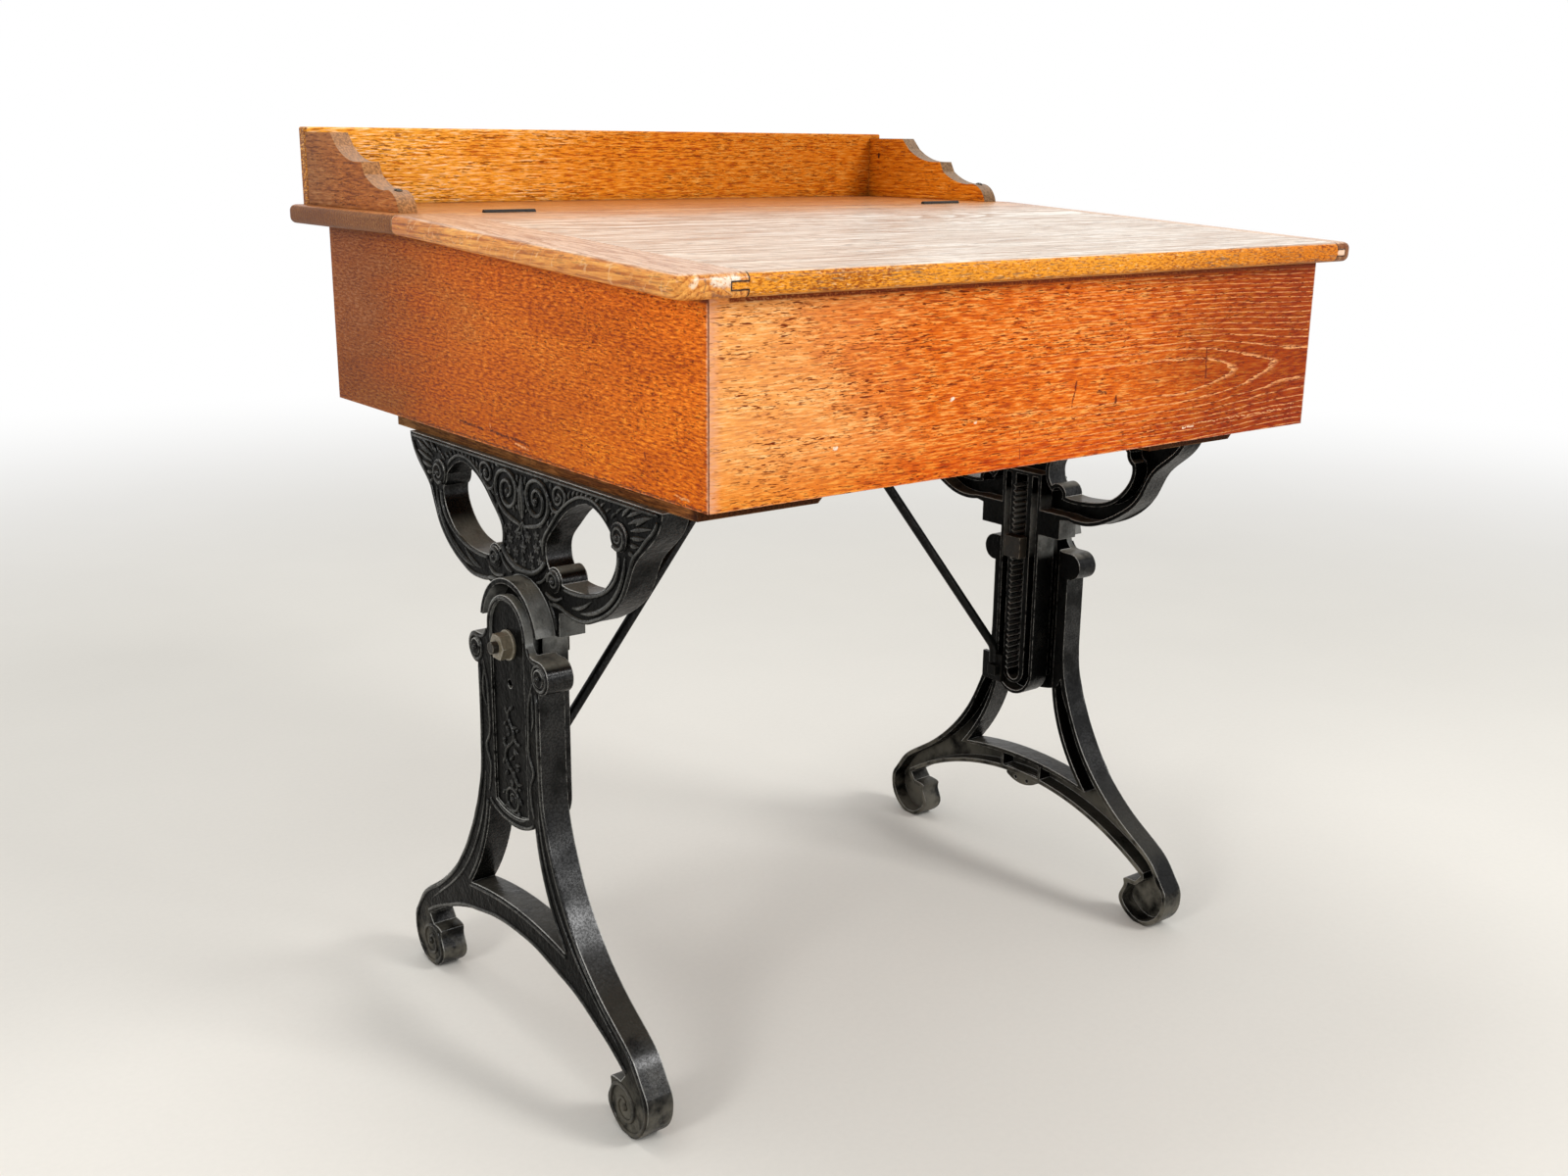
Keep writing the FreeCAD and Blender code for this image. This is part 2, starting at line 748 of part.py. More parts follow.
def leg_outline():
    outer = leg_outer_points()
    foot = foot_points()
    radius = size("panel_arch_radius")
    level = arch_level
    lug_top = lug_level + size("lug_radius")
    springing = point(radius, level)
    flare_end = point(rail_inner + (level - lug_top) / 2, lug_top)
    flare_middle = point((radius + rail_inner) / 2, level - (level - lug_top) * flare_share)
    under, arch_end = arch_under()
    half = [
        arc(springing, flare_middle, flare_end),
        Part.makeLine(flare_end, point(lug_offset, lug_top)),
        Part.makeLine(point(lug_offset, lug_top), outer[0]),
        spline(outer, (down, down)),
        spline(foot, (down, outward)),
        Part.makeLine(foot[-1], arch_end),
    ]
    crown = arc(springing, point(0, level + radius), point(-radius, level))
    return closed_face(both_sides(half) + [crown, under])


def opening_sides(outset=0):
    width = leg_half * opening_foot_span_share - rail_inner
    drop = apron_level - lug_level * opening_foot_share
    side = [point(rail_inner + u * width, apron_level - z * drop) for u, z in opening_shares]
    if outset:
        moved = sideways(side, outset)
        beside = (moved[-1] - side[-1]).normalize()
        moved[-1] = corner(side[-1], beside, down, outset)
        side = moved
    floor = arc(side[-1], point(0, arch_top - outset), point(-side[-1].y, side[-1].z))
    return side, floor


def leg_opening():
    side, floor = opening_sides()
    apron = arc(side[0], point(0, apron_low), point(-side[0].y, side[0].z))
    return closed_face(both_sides([spline(side)]) + [apron, floor])


def leg_hollow():
    # The channel on the inner side of the rails, the arch and the feet, one wall in from every edge
    wall = size("iron_wall")
    outer = sideways(leg_outer_points()[2:], -wall, (down, down))
    foot = sideways(foot_points(), -wall, (down, outward))
    under, arch_end = arch_under(wall)
    notch = arch_under()[1] - foot_points()[-1]
    notch_end = arch_under()[1] + point(notch.z, -notch.y).normalize() * wall
    side, floor = opening_sides(wall)
    half = [
        spline(outer, (down, down)),
        spline(foot, (down, outward)),
        Part.makeLine(foot[-1], notch_end),
        Part.makeLine(notch_end, arch_end),
        spline(side),
        Part.makeLine(side[0], outer[0]),
    ]
    return closed_face(both_sides(half) + [under, floor])


def panel_field():
    margin = size("panel_field_margin")
    radius = size("panel_arch_radius") - margin
    low = apron_level + margin
    dip = apron_level - apron_low
    return closed_face([
        arc(point(radius, arch_level), point(0, arch_level + radius), point(-radius, arch_level)),
        Part.makeLine(point(-radius, arch_level), point(-radius, low)),
        arc(point(-radius, low), point(0, low - dip / 2), point(radius, low)),
        Part.makeLine(point(radius, low), point(radius, arch_level)),
    ])


def arch_tab():
    half = size("tab_half_width")
    top = arch_under_level + size("iron_wall")
    shoulder = arch_under_level - size("iron_wall")
    low = arch_under_level - size("tab_drop")
    face = closed_face([
        Part.makeLine(point(-half, top), point(half, top)),
        Part.makeLine(point(half, top), point(half, shoulder)),
        arc(point(half, shoulder), point(0, low), point(-half, shoulder)),
        Part.makeLine(point(-half, shoulder), point(-half, top)),
    ])
    start = leg_back_x - size("iron_wall") - size("tab_thickness") / 2
    tab = thick(face, start, start + size("tab_thickness"))
    for side in (-1, 1):
        tab = tab.cut(disc(side * size("tab_hole_half_spacing"), (arch_under_level + low) / 2,
                           size("tab_hole_radius"), start - size("overrun"), leg_back_x + size("overrun")))
    return tab


def lower_leg(label, side):
    front = size("leg_inset")
    frame = leg_outline().cut(leg_opening())
    solid = thick(frame, front, leg_back_x)
    hollow = thick(leg_hollow(), front + size("iron_web"), leg_back_x + size("overrun"))
    for rib in (-1, 1):
        middle = rib * size("arch_rib_half_spacing")
        half = size("arch_rib_width") / 2
        hollow = hollow.cut(Part.makeBox(size("iron_depth") + size("overrun"), 2 * half, arch_top,
                                         Vec(front, middle - half, 0)))
    solid = solid.cut(hollow)
    lugs = []
    for way in (-1, 1):
        u = way * lug_offset
        lugs.append(disc(u, lug_level, size("lug_radius"), front, leg_back_x))
        lugs.append(disc(u, lug_level, size("lug_button_radius"), front - size("lug_button_proud"),
                         front + size("overrun")))
    solid = solid.fuse(lugs)
    crown = arch_level + size("panel_arch_radius")
    solid = solid.cut(block(rail_inner, apron_low - size("overrun"), crown + size("overrun"),
                            panel_back_x, leg_back_x + size("overrun")))
    solid = solid.cut(thick(panel_field(), front - size("overrun"), panel_field_x))
    rib_end = bracket_x - size("slide_clearance")
    extras = [disc(0, bolt_level, size("bolt_boss_radius"), panel_field_x, rib_end), arch_tab()]
    for way in (-1, 1):
        middle = way * (tongue_half - size("guide_inset"))
        low = apron_low + size("guide_margin")
        high = arch_level + size("guide_margin")
        extras.append(Part.makeBox(rib_end - panel_field_x, size("guide_width"), high - low,
                                   Vec(panel_field_x, middle - size("guide_width") / 2, low)))
    solid = solid.fuse(extras)
    through = (front - size("overrun"), leg_back_x + size("overrun"))
    holes = [disc(0, bolt_level, size("bolt_radius") + size("bolt_clearance"), *through),
             disc(0, spare_level, size("spare_hole_radius"), *through)]
    sole = block(leg_half + size("overrun"), -foot_height, 0, *through)
    solid = solid.cut(holes + [sole]).removeSplitter()
    return stand_part(label, side, solid)


# Upper bracket. Its lower edge from the flange's tip to the neck: shares of the way out from the
# neck's side to the tip, and of the drop below the flange's top
bracket_edge_shares = [(1, 0), (0.963, 0.14), (0.879, 0.26), (0.757, 0.41), (0.661, 0.65), (0.546, 0.8),
                       (0.425, 0.9), (0.309, 0.97), (0.182, 1), (0.061, 0.985)]
# Loop: shares of its half width and half height, from its top round by the outside. Its middle,
# its half sizes, and the volute and curl that fill its ends: shares of the same way and drop
loop_shares = [(0.15, 1), (0.72, 0.75), (1, 0.12), (0.85, -0.4), (0.45, -0.85), (-0.1, -1), (-0.6, -0.97),
               (-0.95, -0.65), (-0.98, -0.2), (-0.75, 0.2), (-0.35, 0.7)]
loop_middle_shares = (0.2304, 0.4458)
loop_half_shares = (0.3545, 0.3292)
volute_shares = (0.6182, 0.2583)
curl_shares = (-0.0364, 0.7667)


def on_bracket(way, shares):
    out = hood_shoulder + shares[0] * (flange_half - hood_shoulder)
    return point(way * out, flange_top - shares[1] * size("bracket_drop"))


def loop_face(way, outset=0):
    middle = on_bracket(way, loop_middle_shares)
    half_width = loop_half_shares[0] * (flange_half - hood_shoulder)
    half_height = loop_half_shares[1] * size("bracket_drop")
    points = [middle + point(way * u * half_width, z * half_height) for u, z in loop_shares]
    if outset:
        points = sideways(points, way * outset, closed=True)
    hole = Part.Face(Part.Wire(curve_through(points, closed=True).toShape()))
    fillers = []
    for shares, radius in ((volute_shares, size("volute_radius")), (curl_shares, size("curl_radius"))):
        ring = Part.Circle(on_bracket(way, shares), Vec(1, 0, 0), radius - outset).toShape()
        fillers.append(Part.Face(Part.Wire(ring)))
    return hole.cut(fillers)


def bracket_edge():
    return [on_bracket(1, shares) for shares in bracket_edge_shares]


def bracket_outline():
    edge = bracket_edge()
    shoulder = point(hood_shoulder, neck_level)
    low = hood_level + size("hood_end_rise")
    side = [
        spline(edge),
        Part.makeLine(edge[-1], shoulder),
        Part.makeLine(shoulder, point(hood_shoulder, low)),
        Part.makeLine(point(hood_shoulder, low), point(tongue_half, low)),
    ]
    top = Part.makeLine(edge[0], point(-edge[0].y, flange_top))
    sill = Part.makeLine(point(tongue_half, low), point(-tongue_half, low))
    return closed_face(both_sides(side) + [top, sill])


def bracket_hollow():
    # The hollow behind the bracket's face, one wall in from every edge
    wall = size("bracket_wall")
    edge = bracket_edge()
    moved = sideways(edge, -wall)
    beside = (moved[0] - edge[0]).normalize()
    moved[0] = corner(edge[0], beside, down, wall)
    top = Part.makeLine(moved[0], point(-moved[0].y, moved[0].z))
    low = Part.makeLine(moved[-1], point(-moved[-1].y, moved[-1].z))
    return closed_face(both_sides([spline(moved)]) + [top, low])


def tongue_outline(high, inset=0):
    half = tongue_half - inset
    level = tongue_low + tongue_half
    return closed_face([
        Part.makeLine(point(half, high), point(-half, high)),
        Part.makeLine(point(-half, high), point(-half, level)),
        arc(point(-half, level), point(0, level - half), point(half, level)),
        Part.makeLine(point(half, level), point(half, high)),
    ])


def slot_solid(half, low, high, start, end):
    level = low + half
    return thick(closed_face([
        arc(point(-half, level), point(0, low), point(half, level)),
        Part.makeLine(point(half, level), point(half, high)),
        Part.makeLine(point(half, high), point(-half, high)),
        Part.makeLine(point(-half, high), point(-half, level)),
    ]), start, end)


def teeth(start, end):
    half = size("slot_half_width")
    pitch = size("tooth_pitch")
    low = slot_low + half
    count = int((slot_blind_high - size("tooth_margin") - low) // pitch)
    cutters = []
    for index in range(count):
        base = low + index * pitch
        notch = polygon([
            point(half - size("slot_wall") / 2, base),
            point(half + size("tooth_depth"), base + pitch / 2),
            point(half - size("slot_wall") / 2, base + pitch),
        ])
        cutters.append(thick(notch, start, end))
    return cutters


def hood():
    ring = disc(0, hood_level, hood_radius, size("hood_inset"), bracket_x + size("overrun"))
    ring = ring.cut(disc(0, hood_level, hood_radius - size("hood_thickness"), 0, bracket_x))
    low = hood_level + size("hood_end_rise")
    return ring.cut(block(hood_radius * 2, low - hood_radius * 3, low, 0, bracket_back_x))


def upper_bracket(label, side):
    start = bracket_x
    end = bracket_back_x
    web_end = start + size("iron_web")
    past = end + size("overrun")
    solid = thick(bracket_outline(), start, end)
    core_high = slot_blind_high + size("slot_wall")
    core = block(tongue_half, tongue_low, core_high, start, past)
    hollow = thick(bracket_hollow(), web_end, past).cut(core)
    for way in (-1, 1):
        hollow = hollow.cut(thick(loop_face(way, size("bracket_wall")), start, past))
        solid = solid.cut(thick(loop_face(way), start - size("overrun"), past))
    solid = solid.cut(hollow)
    solid = solid.fuse([thick(tongue_outline(core_high), start, end), hood()])
    half = size("slot_half_width")
    wall = size("slot_wall")
    gutter = tongue_outline(core_high - wall, wall)
    rim = slot_solid(half + wall + size("tooth_depth"), slot_low - wall, core_high, start, past)
    solid = solid.cut(thick(gutter, web_end, past).cut(rim))
    solid = solid.cut([slot_solid(half, slot_low, slot_open_high, start - size("overrun"), past),
                       slot_solid(half, slot_low, slot_blind_high, web_end, past)])
    solid = solid.cut(teeth(web_end, past)).removeSplitter()
    return stand_part(label, side, solid)


def stand_part(label, side, shape):
    shape = shape.Solids[0]
    if side > 0:
        shape = shape.mirror(Vec(), Vec(1, 0, 0))
    piece = doc.addObject("Part::Feature", label)
    piece.Label = label
    piece.Shape = shape
    piece.Placement = FreeCAD.Placement(Vec(side * side_x, iron_y, 0), FreeCAD.Rotation())
    return piece


# Clamp bolt with a square head, washer and nut

def clamp(name, side):
    level = bolt_level
    head_width = size("bolt_head_width")
    washer_x = panel_field_x - size("washer_thickness")
    nut_x = washer_x - size("nut_height")
    shank = disc(0, level, size("bolt_radius"), nut_x - size("bolt_end"), bracket_back_x + size("overrun"))
    head = block(head_width / 2, level - head_width / 2, level + head_width / 2,
                 bracket_back_x + size("slide_clearance"),
                 bracket_back_x + size("slide_clearance") + size("bolt_head_height"))
    bolt = shank.fuse(head).removeSplitter()
    bore = size("bolt_radius")
    washer = disc(0, level, size("washer_radius"), washer_x, panel_field_x).cut(
        disc(0, level, bore, washer_x - size("overrun"), panel_field_x + size("overrun")))
    corner_radius = size("nut_width") / math.sqrt(3)
    turns = [math.pi / 3 * step for step in range(6)]
    hexagon = [point(math.cos(turn), math.sin(turn)) * corner_radius + point(0, level) for turn in turns]
    nut = thick(polygon(hexagon), nut_x, washer_x).cut(
        disc(0, level, bore, nut_x - size("overrun"), washer_x + size("overrun")))
    return [
        stand_part(f"clamp_bolt_{name}", side, bolt),
        stand_part(f"clamp_washer_{name}", side, washer),
        stand_part(f"clamp_nut_{name}", side, nut),
    ]


# Brace: a round bar bent inward, flattened to a plate at the tongue and under the box

def brace(name, side):
    radius = size("brace_radius")
    plate = size("brace_plate_thickness")
    u = size("brace_offset")
    foot_low = tongue_low + size("brace_foot_rise")
    foot_high = foot_low + size("brace_foot_height")
    foot_x = bracket_back_x + radius
    bend = Vec(foot_x, u, foot_high + size("brace_bend_rise"))
    end = Vec(side_x - size("brace_meeting"), u, size("box_underside") - plate / 2)
    rise = (end - bend).normalize()
    turn = math.acos(rise.z)
    tangent = size("brace_bend_radius") * math.tan(turn / 2)
    before = bend - Vec(0, 0, tangent)
    after = bend + rise * tangent
    centre = before + Vec(size("brace_bend_radius"), 0, 0)
    middle = centre + Vec(-math.cos(turn / 2), 0, math.sin(turn / 2)) * size("brace_bend_radius")
    path = Part.Wire([Part.makeLine(before - Vec(0, 0, radius), before), arc(before, middle, after),
                      Part.makeLine(after, end)])
    ring = Part.Wire(Part.Circle(before - Vec(0, 0, radius), Vec(0, 0, 1), radius).toShape())
    bar = path.makePipeShell([ring], True, False)
    foot = Part.makeBox(plate, size("brace_foot_outer") - size("brace_foot_inner"), foot_high - foot_low,
                        Vec(bracket_back_x, size("brace_foot_inner"), foot_low))
    neck_low = foot_high - 2 * plate
    neck = Part.makeCylinder(radius, before.z - radius - neck_low, Vec(foot_x, u, neck_low), Vec(0, 0, 1))
    top = Part.makeBox(size("brace_top_length"), size("brace_top_width"), plate,
                       Vec(end.x - size("brace_top_length") / 2, u - size("brace_top_width") / 2,
                           size("box_underside") - plate))
    ceiling = Part.makeBox(size("box_width"), size("box_width"), size("box_underside"),
                           Vec(0, u - size("box_width") / 2, size("box_underside")))
    shape = bar.fuse([foot, neck, top]).cut(ceiling).removeSplitter()
    width = size("brace_bolt_width")
    bolt = Part.makeBox(size("brace_bolt_height"), width, width,
                        Vec(bracket_back_x + plate, size("brace_bolt_offset") - width / 2,
                            foot_low + size("brace_bolt_rise") - width / 2))
    return [stand_part(f"brace_{name}", side, shape), stand_part(f"brace_bolt_{name}", side, bolt)]


pieces = [front_board(), side_board("side_board_left", -1), side_board("side_board_right", 1)]
pieces += back_and_bottom()
pieces += [
    top_rail(),
    lid_panel(),
    lid_clamp("lid_clamp_left", f"-{half_top}", panel_left, "sizes.left_tenon_length"),
    lid_clamp("lid_clamp_right", half_top, panel_right, "sizes.right_tenon_length"),
    gallery_back(),
]
for name, side in (("left", -1), ("right", 1)):
    pieces.append(gallery_bracket(f"gallery_bracket_{name}", side))
    pieces.append(batten(f"batten_{name}", side))
    pieces += hinge(name, side)
    pieces.append(upper_bracket(f"upper_bracket_{name}", side))
    pieces.append(lower_leg(f"lower_leg_{name}", side))
    pieces += clamp(name, side)
    pieces += brace(name, side)

doc.recompute()
for item in doc.Objects:
    if "Invalid" in item.State or "Error" in item.State:
        raise RuntimeError(f"{item.Label} failed: {item.State}")
for piece in pieces:
    if piece.Shape.isNull() or not piece.Shape.isValid():
        raise RuntimeError(f"{piece.Label} has no valid shape")
for piece in pieces:
    piece.Shape.exportStep(f"parts/{piece.Label}.step")
    print(piece.Label, len(piece.Shape.Solids), round(piece.Shape.Volume / 1000))
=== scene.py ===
import bpy
import bmesh
import math
from mathutils import Matrix, Vector


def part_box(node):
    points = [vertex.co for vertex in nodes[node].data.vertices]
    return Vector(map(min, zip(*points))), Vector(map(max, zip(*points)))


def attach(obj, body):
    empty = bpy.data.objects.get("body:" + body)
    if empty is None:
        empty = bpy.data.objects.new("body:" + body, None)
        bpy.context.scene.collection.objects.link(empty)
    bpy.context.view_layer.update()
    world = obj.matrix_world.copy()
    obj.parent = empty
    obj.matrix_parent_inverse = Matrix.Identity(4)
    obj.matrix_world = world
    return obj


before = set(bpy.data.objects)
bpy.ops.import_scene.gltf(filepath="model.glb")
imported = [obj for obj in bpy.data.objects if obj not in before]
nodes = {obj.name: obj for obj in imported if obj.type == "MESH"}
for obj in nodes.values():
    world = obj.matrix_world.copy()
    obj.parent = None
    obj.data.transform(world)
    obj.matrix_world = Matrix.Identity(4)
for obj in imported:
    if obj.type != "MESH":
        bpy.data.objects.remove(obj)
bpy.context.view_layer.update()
print("frame loaded:", len(nodes), "nodes")

sides = {"left": -1, "right": 1}

# the irons stand this far forward of the middle, and their depth is counted in from the box's side
stand = {"sideX": 0.350, "middleY": -0.012, "bracketFace": 23, "legFace": 2, "fieldFace": 4.5}


# Camera, floor and light

view = {
    "place": (-1.0036, -1.2692, 0.8389),
    "forward": (0.58878, 0.76335, -0.26577),
    "right": (0.79182, -0.61074, 0.0),
    "up": (0.16232, 0.21044, 0.96404),
    "roll": 0.011,
    "lens": 37.44,
}


def setCamera(spec):
    right, up = Vector(spec["right"]), Vector(spec["up"])
    c, s = math.cos(spec["roll"]), math.sin(spec["roll"])
    axes = (right * c + up * s, up * c - right * s, -Vector(spec["forward"]))
    turn = Matrix([[axes[col][row] for col in range(3)] for row in range(3)])
    data = bpy.data.cameras.new("photoCamera")
    data.lens = spec["lens"]
    data.sensor_width = 36
    data.sensor_fit = "HORIZONTAL"
    data.clip_start = 0.02
    camera = bpy.data.objects.new("photoCamera", data)
    camera.matrix_world = Matrix.Translation(spec["place"]) @ turn.to_4x4()
    bpy.context.scene.collection.objects.link(camera)
    bpy.context.scene.camera = camera


studio = {
    "skyLight": 0.62,
    "skyColour": (0.97, 0.985, 1.0, 1),
    "floorColour": (0.74, 0.71, 0.65, 1),
    "floorSize": 9.0,
    "fadeStart": 1.3,
    "fadeEnd": 4.2,
    "lamps": {
        "keyLamp": {"place": (1.5, -2.5, 2.5), "aim": (0, -0.1, 0.5), "size": 0.9, "power": 53},
        "lowLamp": {"place": (0.9, -3.0, 1.25), "aim": (-0.2, 0, 0.3), "size": 0.4, "power": 9},
        "fillLamp": {"place": (-2.8, -0.9, 1.6), "aim": (-0.2, 0, 0.45), "size": 0.75, "power": 26},
        "topLamp": {"place": (-0.3, 0.9, 3.2), "aim": (0, 0, 0.6), "size": 1.4, "power": 30},
    },
}


def lightStudio(spec):
    scene = bpy.context.scene
    scene.view_settings.view_transform = "Standard"
    world = bpy.data.worlds.new("studioSky")
    scene.world = world
    world.use_nodes = True
    tree = world.node_tree
    tree.nodes.clear()
    shown = whereSeen(tree)
    lighting = feed(tree, "Background", spec["skyColour"], spec["skyLight"])[0]
    backdrop = feed(tree, "Background", (1, 1, 1, 1))[0]
    feed(tree, "OutputWorld", feed(tree, "MixShader", shown, lighting, backdrop)[0])
    for name, lamp in spec["lamps"].items():
        data = bpy.data.lights.new(name, "AREA")
        data.size = lamp["size"]
        data.energy = lamp["power"]
        light = bpy.data.objects.new(name, data)
        aim = Vector(lamp["aim"]) - Vector(lamp["place"])
        light.location = lamp["place"]
        light.rotation_euler = aim.to_track_quat("-Z", "Y").to_euler()
        scene.collection.objects.link(light)


# Small helpers for shader trees

def addNode(tree, kind, **settings):
    node = tree.nodes.new("ShaderNode" + kind)
    for key, value in settings.items():
        setattr(node, key, value)
    return node


def link(tree, socket, value):
    if isinstance(value, bpy.types.NodeSocket):
        tree.links.new(value, socket)
    else:
        socket.default_value = value


def feed(tree, kind, *values, **settings):
    # a new node with its first sockets filled in
    node = addNode(tree, kind, **settings)
    for socket, value in zip(node.inputs, values):
        link(tree, socket, value)
    return node.outputs


def maths(tree, operation, *values, clamp=False):
    return feed(tree, "Math", *values, operation=operation, use_clamp=clamp)[0]


def times(tree, *values, clamp=False):
    product = values[0]
    for value in values[1:]:
        product = maths(tree, "MULTIPLY", product, value, clamp=clamp)
    return product


def plus(tree, first, second):
    return maths(tree, "ADD", first, second)


def minus(tree, first, second):
    return maths(tree, "SUBTRACT", first, second)


def timesPlus(tree, value, factor, offset):
    return maths(tree, "MULTIPLY_ADD", value, factor, offset)


def swing(tree, value, amount, base):
    # a noise runs around a half, and carries the base up and down
    return timesPlus(tree, minus(tree, value, 0.5), amount, base)


def larger(tree, first, second):
    return maths(tree, "MAXIMUM", first, second)


def unsigned(tree, value):
    return maths(tree, "ABSOLUTE", value)


def vectorMaths(tree, operation, *values):
    given = "Value" if operation in ("LENGTH", "DOT_PRODUCT", "DISTANCE") else "Vector"
    return feed(tree, "VectorMath", *values, operation=operation)[given]


def vectorTimes(tree, vector, factor):
    node = addNode(tree, "VectorMath", operation="SCALE")
    link(tree, node.inputs[0], vector)
    link(tree, node.inputs["Scale"], factor)
    return node.outputs[0]


def noise(tree, vector, scale=(1, 1, 1), detail=2.0, roughness=0.5, colour=False):
    # the stretch of the noise is given per axis, in features to the metre
    if isinstance(scale, int):
        scale = (scale, scale, scale)
    node = addNode(tree, "TexNoise")
    link(tree, node.inputs["Vector"], vectorMaths(tree, "MULTIPLY", vector, scale))
    node.inputs["Scale"].default_value = 1
    node.inputs["Detail"].default_value = detail
    node.inputs["Roughness"].default_value = roughness
    return node.outputs["Color" if colour else "Fac"]


def between(tree, value, low, high, toLow=0.0, toHigh=1.0):
    return feed(tree, "MapRange", value, low, high, toLow, toHigh, interpolation_type="SMOOTHSTEP")[0]


def rgba(colour, factor=1.0):
    return tuple(v * factor for v in colour[:3]) + (1.0,)


def mixColour(tree, mask, first, second, blend="MIX"):
    node = addNode(tree, "Mix", data_type="RGBA", blend_type=blend)
    link(tree, node.inputs[0], mask)
    for socket, colour in zip(node.inputs[6:8], (first, second)):
        link(tree, socket, colour if isinstance(colour, bpy.types.NodeSocket) else rgba(colour))
    return node.outputs[2]


def tint(tree, colour, factors):
    return mixColour(tree, 1.0, colour, factors, "MULTIPLY")


def split(tree, vector):
    return feed(tree, "SeparateXYZ", vector)


def join(tree, x, y, z):
    return feed(tree, "CombineXYZ", x, y, z)[0]


def whereSeen(tree):
    # the rays that meet the white background: from the camera, off gloss and through glass
    seen = addNode(tree, "LightPath").outputs
    return larger(tree, larger(tree, seen["Is Camera Ray"], seen["Is Glossy Ray"]),
                  seen["Is Transmission Ray"])


def ownNormal(tree):
    # the way a surface faces on the piece itself, which stays the same when the piece swings
    return split(tree, addNode(tree, "TexCoord").outputs["Normal"])


def startGroup(name, inputs, outputs):
    group = bpy.data.node_groups.new(name, "ShaderNodeTree")
    kinds = {"vector": "NodeSocketVector", "value": "NodeSocketFloat", "colour": "NodeSocketColor"}
    for label, kind in inputs:
        group.interface.new_socket(name=label, in_out="INPUT", socket_type=kinds[kind])
    for label, kind in outputs:
        group.interface.new_socket(name=label, in_out="OUTPUT", socket_type=kinds[kind])
    return group, group.nodes.new("NodeGroupInput").outputs, group.nodes.new("NodeGroupOutput").inputs


def useGroup(tree, group, **values):
    node = addNode(tree, "Group")
    node.node_tree = group
    for label, value in values.items():
        link(tree, node.inputs[label], value)
    return node.outputs


# Shared effects

def buildOakGrain():
    # Vector runs with the grain along X, across the board along Y and through it along Z
    group, given, out = startGroup("oakGrain", [("Vector", "vector"), ("ringGap", "value"),
                                                ("pithSide", "value"), ("pithDepth", "value"),
                                                ("tipPlace", "value"), ("tipRise", "value"),
                                                ("waviness", "value"), ("streakScale", "vector"),
                                                ("poreScale", "vector")],
                                   [("rings", "value"), ("fibres", "value"), ("pores", "value"),
                                    ("mottle", "value"), ("height", "value")])
    x, y, z = split(group, given["Vector"])
    slow = split(group, noise(group, given["Vector"], (2.4, 5, 5), 2.0, 0.5, colour=True))
    sway = times(group, minus(group, slow[0], 0.5), given["waviness"])
    rise = times(group, minus(group, slow[1], 0.5), given["waviness"])
    # the rings sink towards the tip, which closes the figure in a point
    sink = times(group, between(group, minus(group, x, given["tipPlace"]), -0.14, 0.05), given["tipRise"])
    side = plus(group, minus(group, y, given["pithSide"]), sway)
    deep = plus(group, plus(group, plus(group, z, given["pithDepth"]), sink), rise)
    reach = vectorMaths(group, "LENGTH", join(group, 0.0, side, deep))
    count = plus(group, maths(group, "DIVIDE", reach, given["ringGap"]),
                 times(group, noise(group, given["Vector"], (22, 150, 150), 2.0), 0.7))
    place = maths(group, "FRACT", count)
    rings = times(group, between(group, place, 0.0, 0.12),
                  maths(group, "POWER", minus(group, 1.0, place), 2.0))
    fibres = noise(group, given["Vector"], given["streakScale"], 3.0, 0.62)
    longPores = between(group, noise(group, given["Vector"], given["poreScale"], 1.0, 0.4), 0.59, 0.68)
    finer = vectorMaths(group, "MULTIPLY", given["poreScale"], (2.1, 1.9, 1.9))
    finePores = between(group, noise(group, given["Vector"], finer, 1.0, 0.4), 0.60, 0.70)
    inPatch = between(group, noise(group, given["Vector"], (16, 48, 48), 2.0), 0.40, 0.60)
    strength = timesPlus(group, rings, 0.9, timesPlus(group, inPatch, 0.6, 0.12))
    pores = times(group, larger(group, longPores, times(group, finePores, 0.6)), strength, clamp=True)
    mottle = noise(group, given["Vector"], (7, 24, 24), 3.0, 0.6)
    height = minus(group, times(group, fibres, 0.8), timesPlus(group, pores, 1.0, times(group, rings, 0.3)))
    for label, value in zip(("rings", "fibres", "pores", "mottle", "height"),
                            (rings, fibres, pores, mottle, height)):
        link(group, out[label], value)
    return group


def buildLineMark():
    # a thin line between two points, wherever it is nearer than its half width: scratches and seams, and also
    # painted highlights and shadows
    group, given, out = startGroup("lineMark", [("Vector", "vector"), ("start", "vector"), ("end", "vector"),
                                               ("halfWidth", "value"), ("shake", "value"),
                                               ("solid", "value")], [("mask", "value")])
    drift = vectorMaths(group, "SUBTRACT", noise(group, given["Vector"], 160, 2.0, colour=True),
                        (0.5, 0.5, 0.5))
    place = vectorMaths(group, "ADD", vectorTimes(group, drift, given["shake"]), given["Vector"])
    off = vectorMaths(group, "SUBTRACT", place, given["start"])
    run = vectorMaths(group, "SUBTRACT", given["end"], given["start"])
    share = maths(group, "DIVIDE", vectorMaths(group, "DOT_PRODUCT", off, run),
                  vectorMaths(group, "DOT_PRODUCT", run, run), clamp=True)
    gap = vectorMaths(group, "DISTANCE", off, vectorTimes(group, run, share))
    broken = between(group, noise(group, given["Vector"], 420, 2.0), 0.30, 0.52)
    near = between(group, maths(group, "DIVIDE", gap, given["halfWidth"]), 1.0, 0.35)
    link(group, out["mask"], times(group, near, larger(group, broken, given["solid"])))
    return group


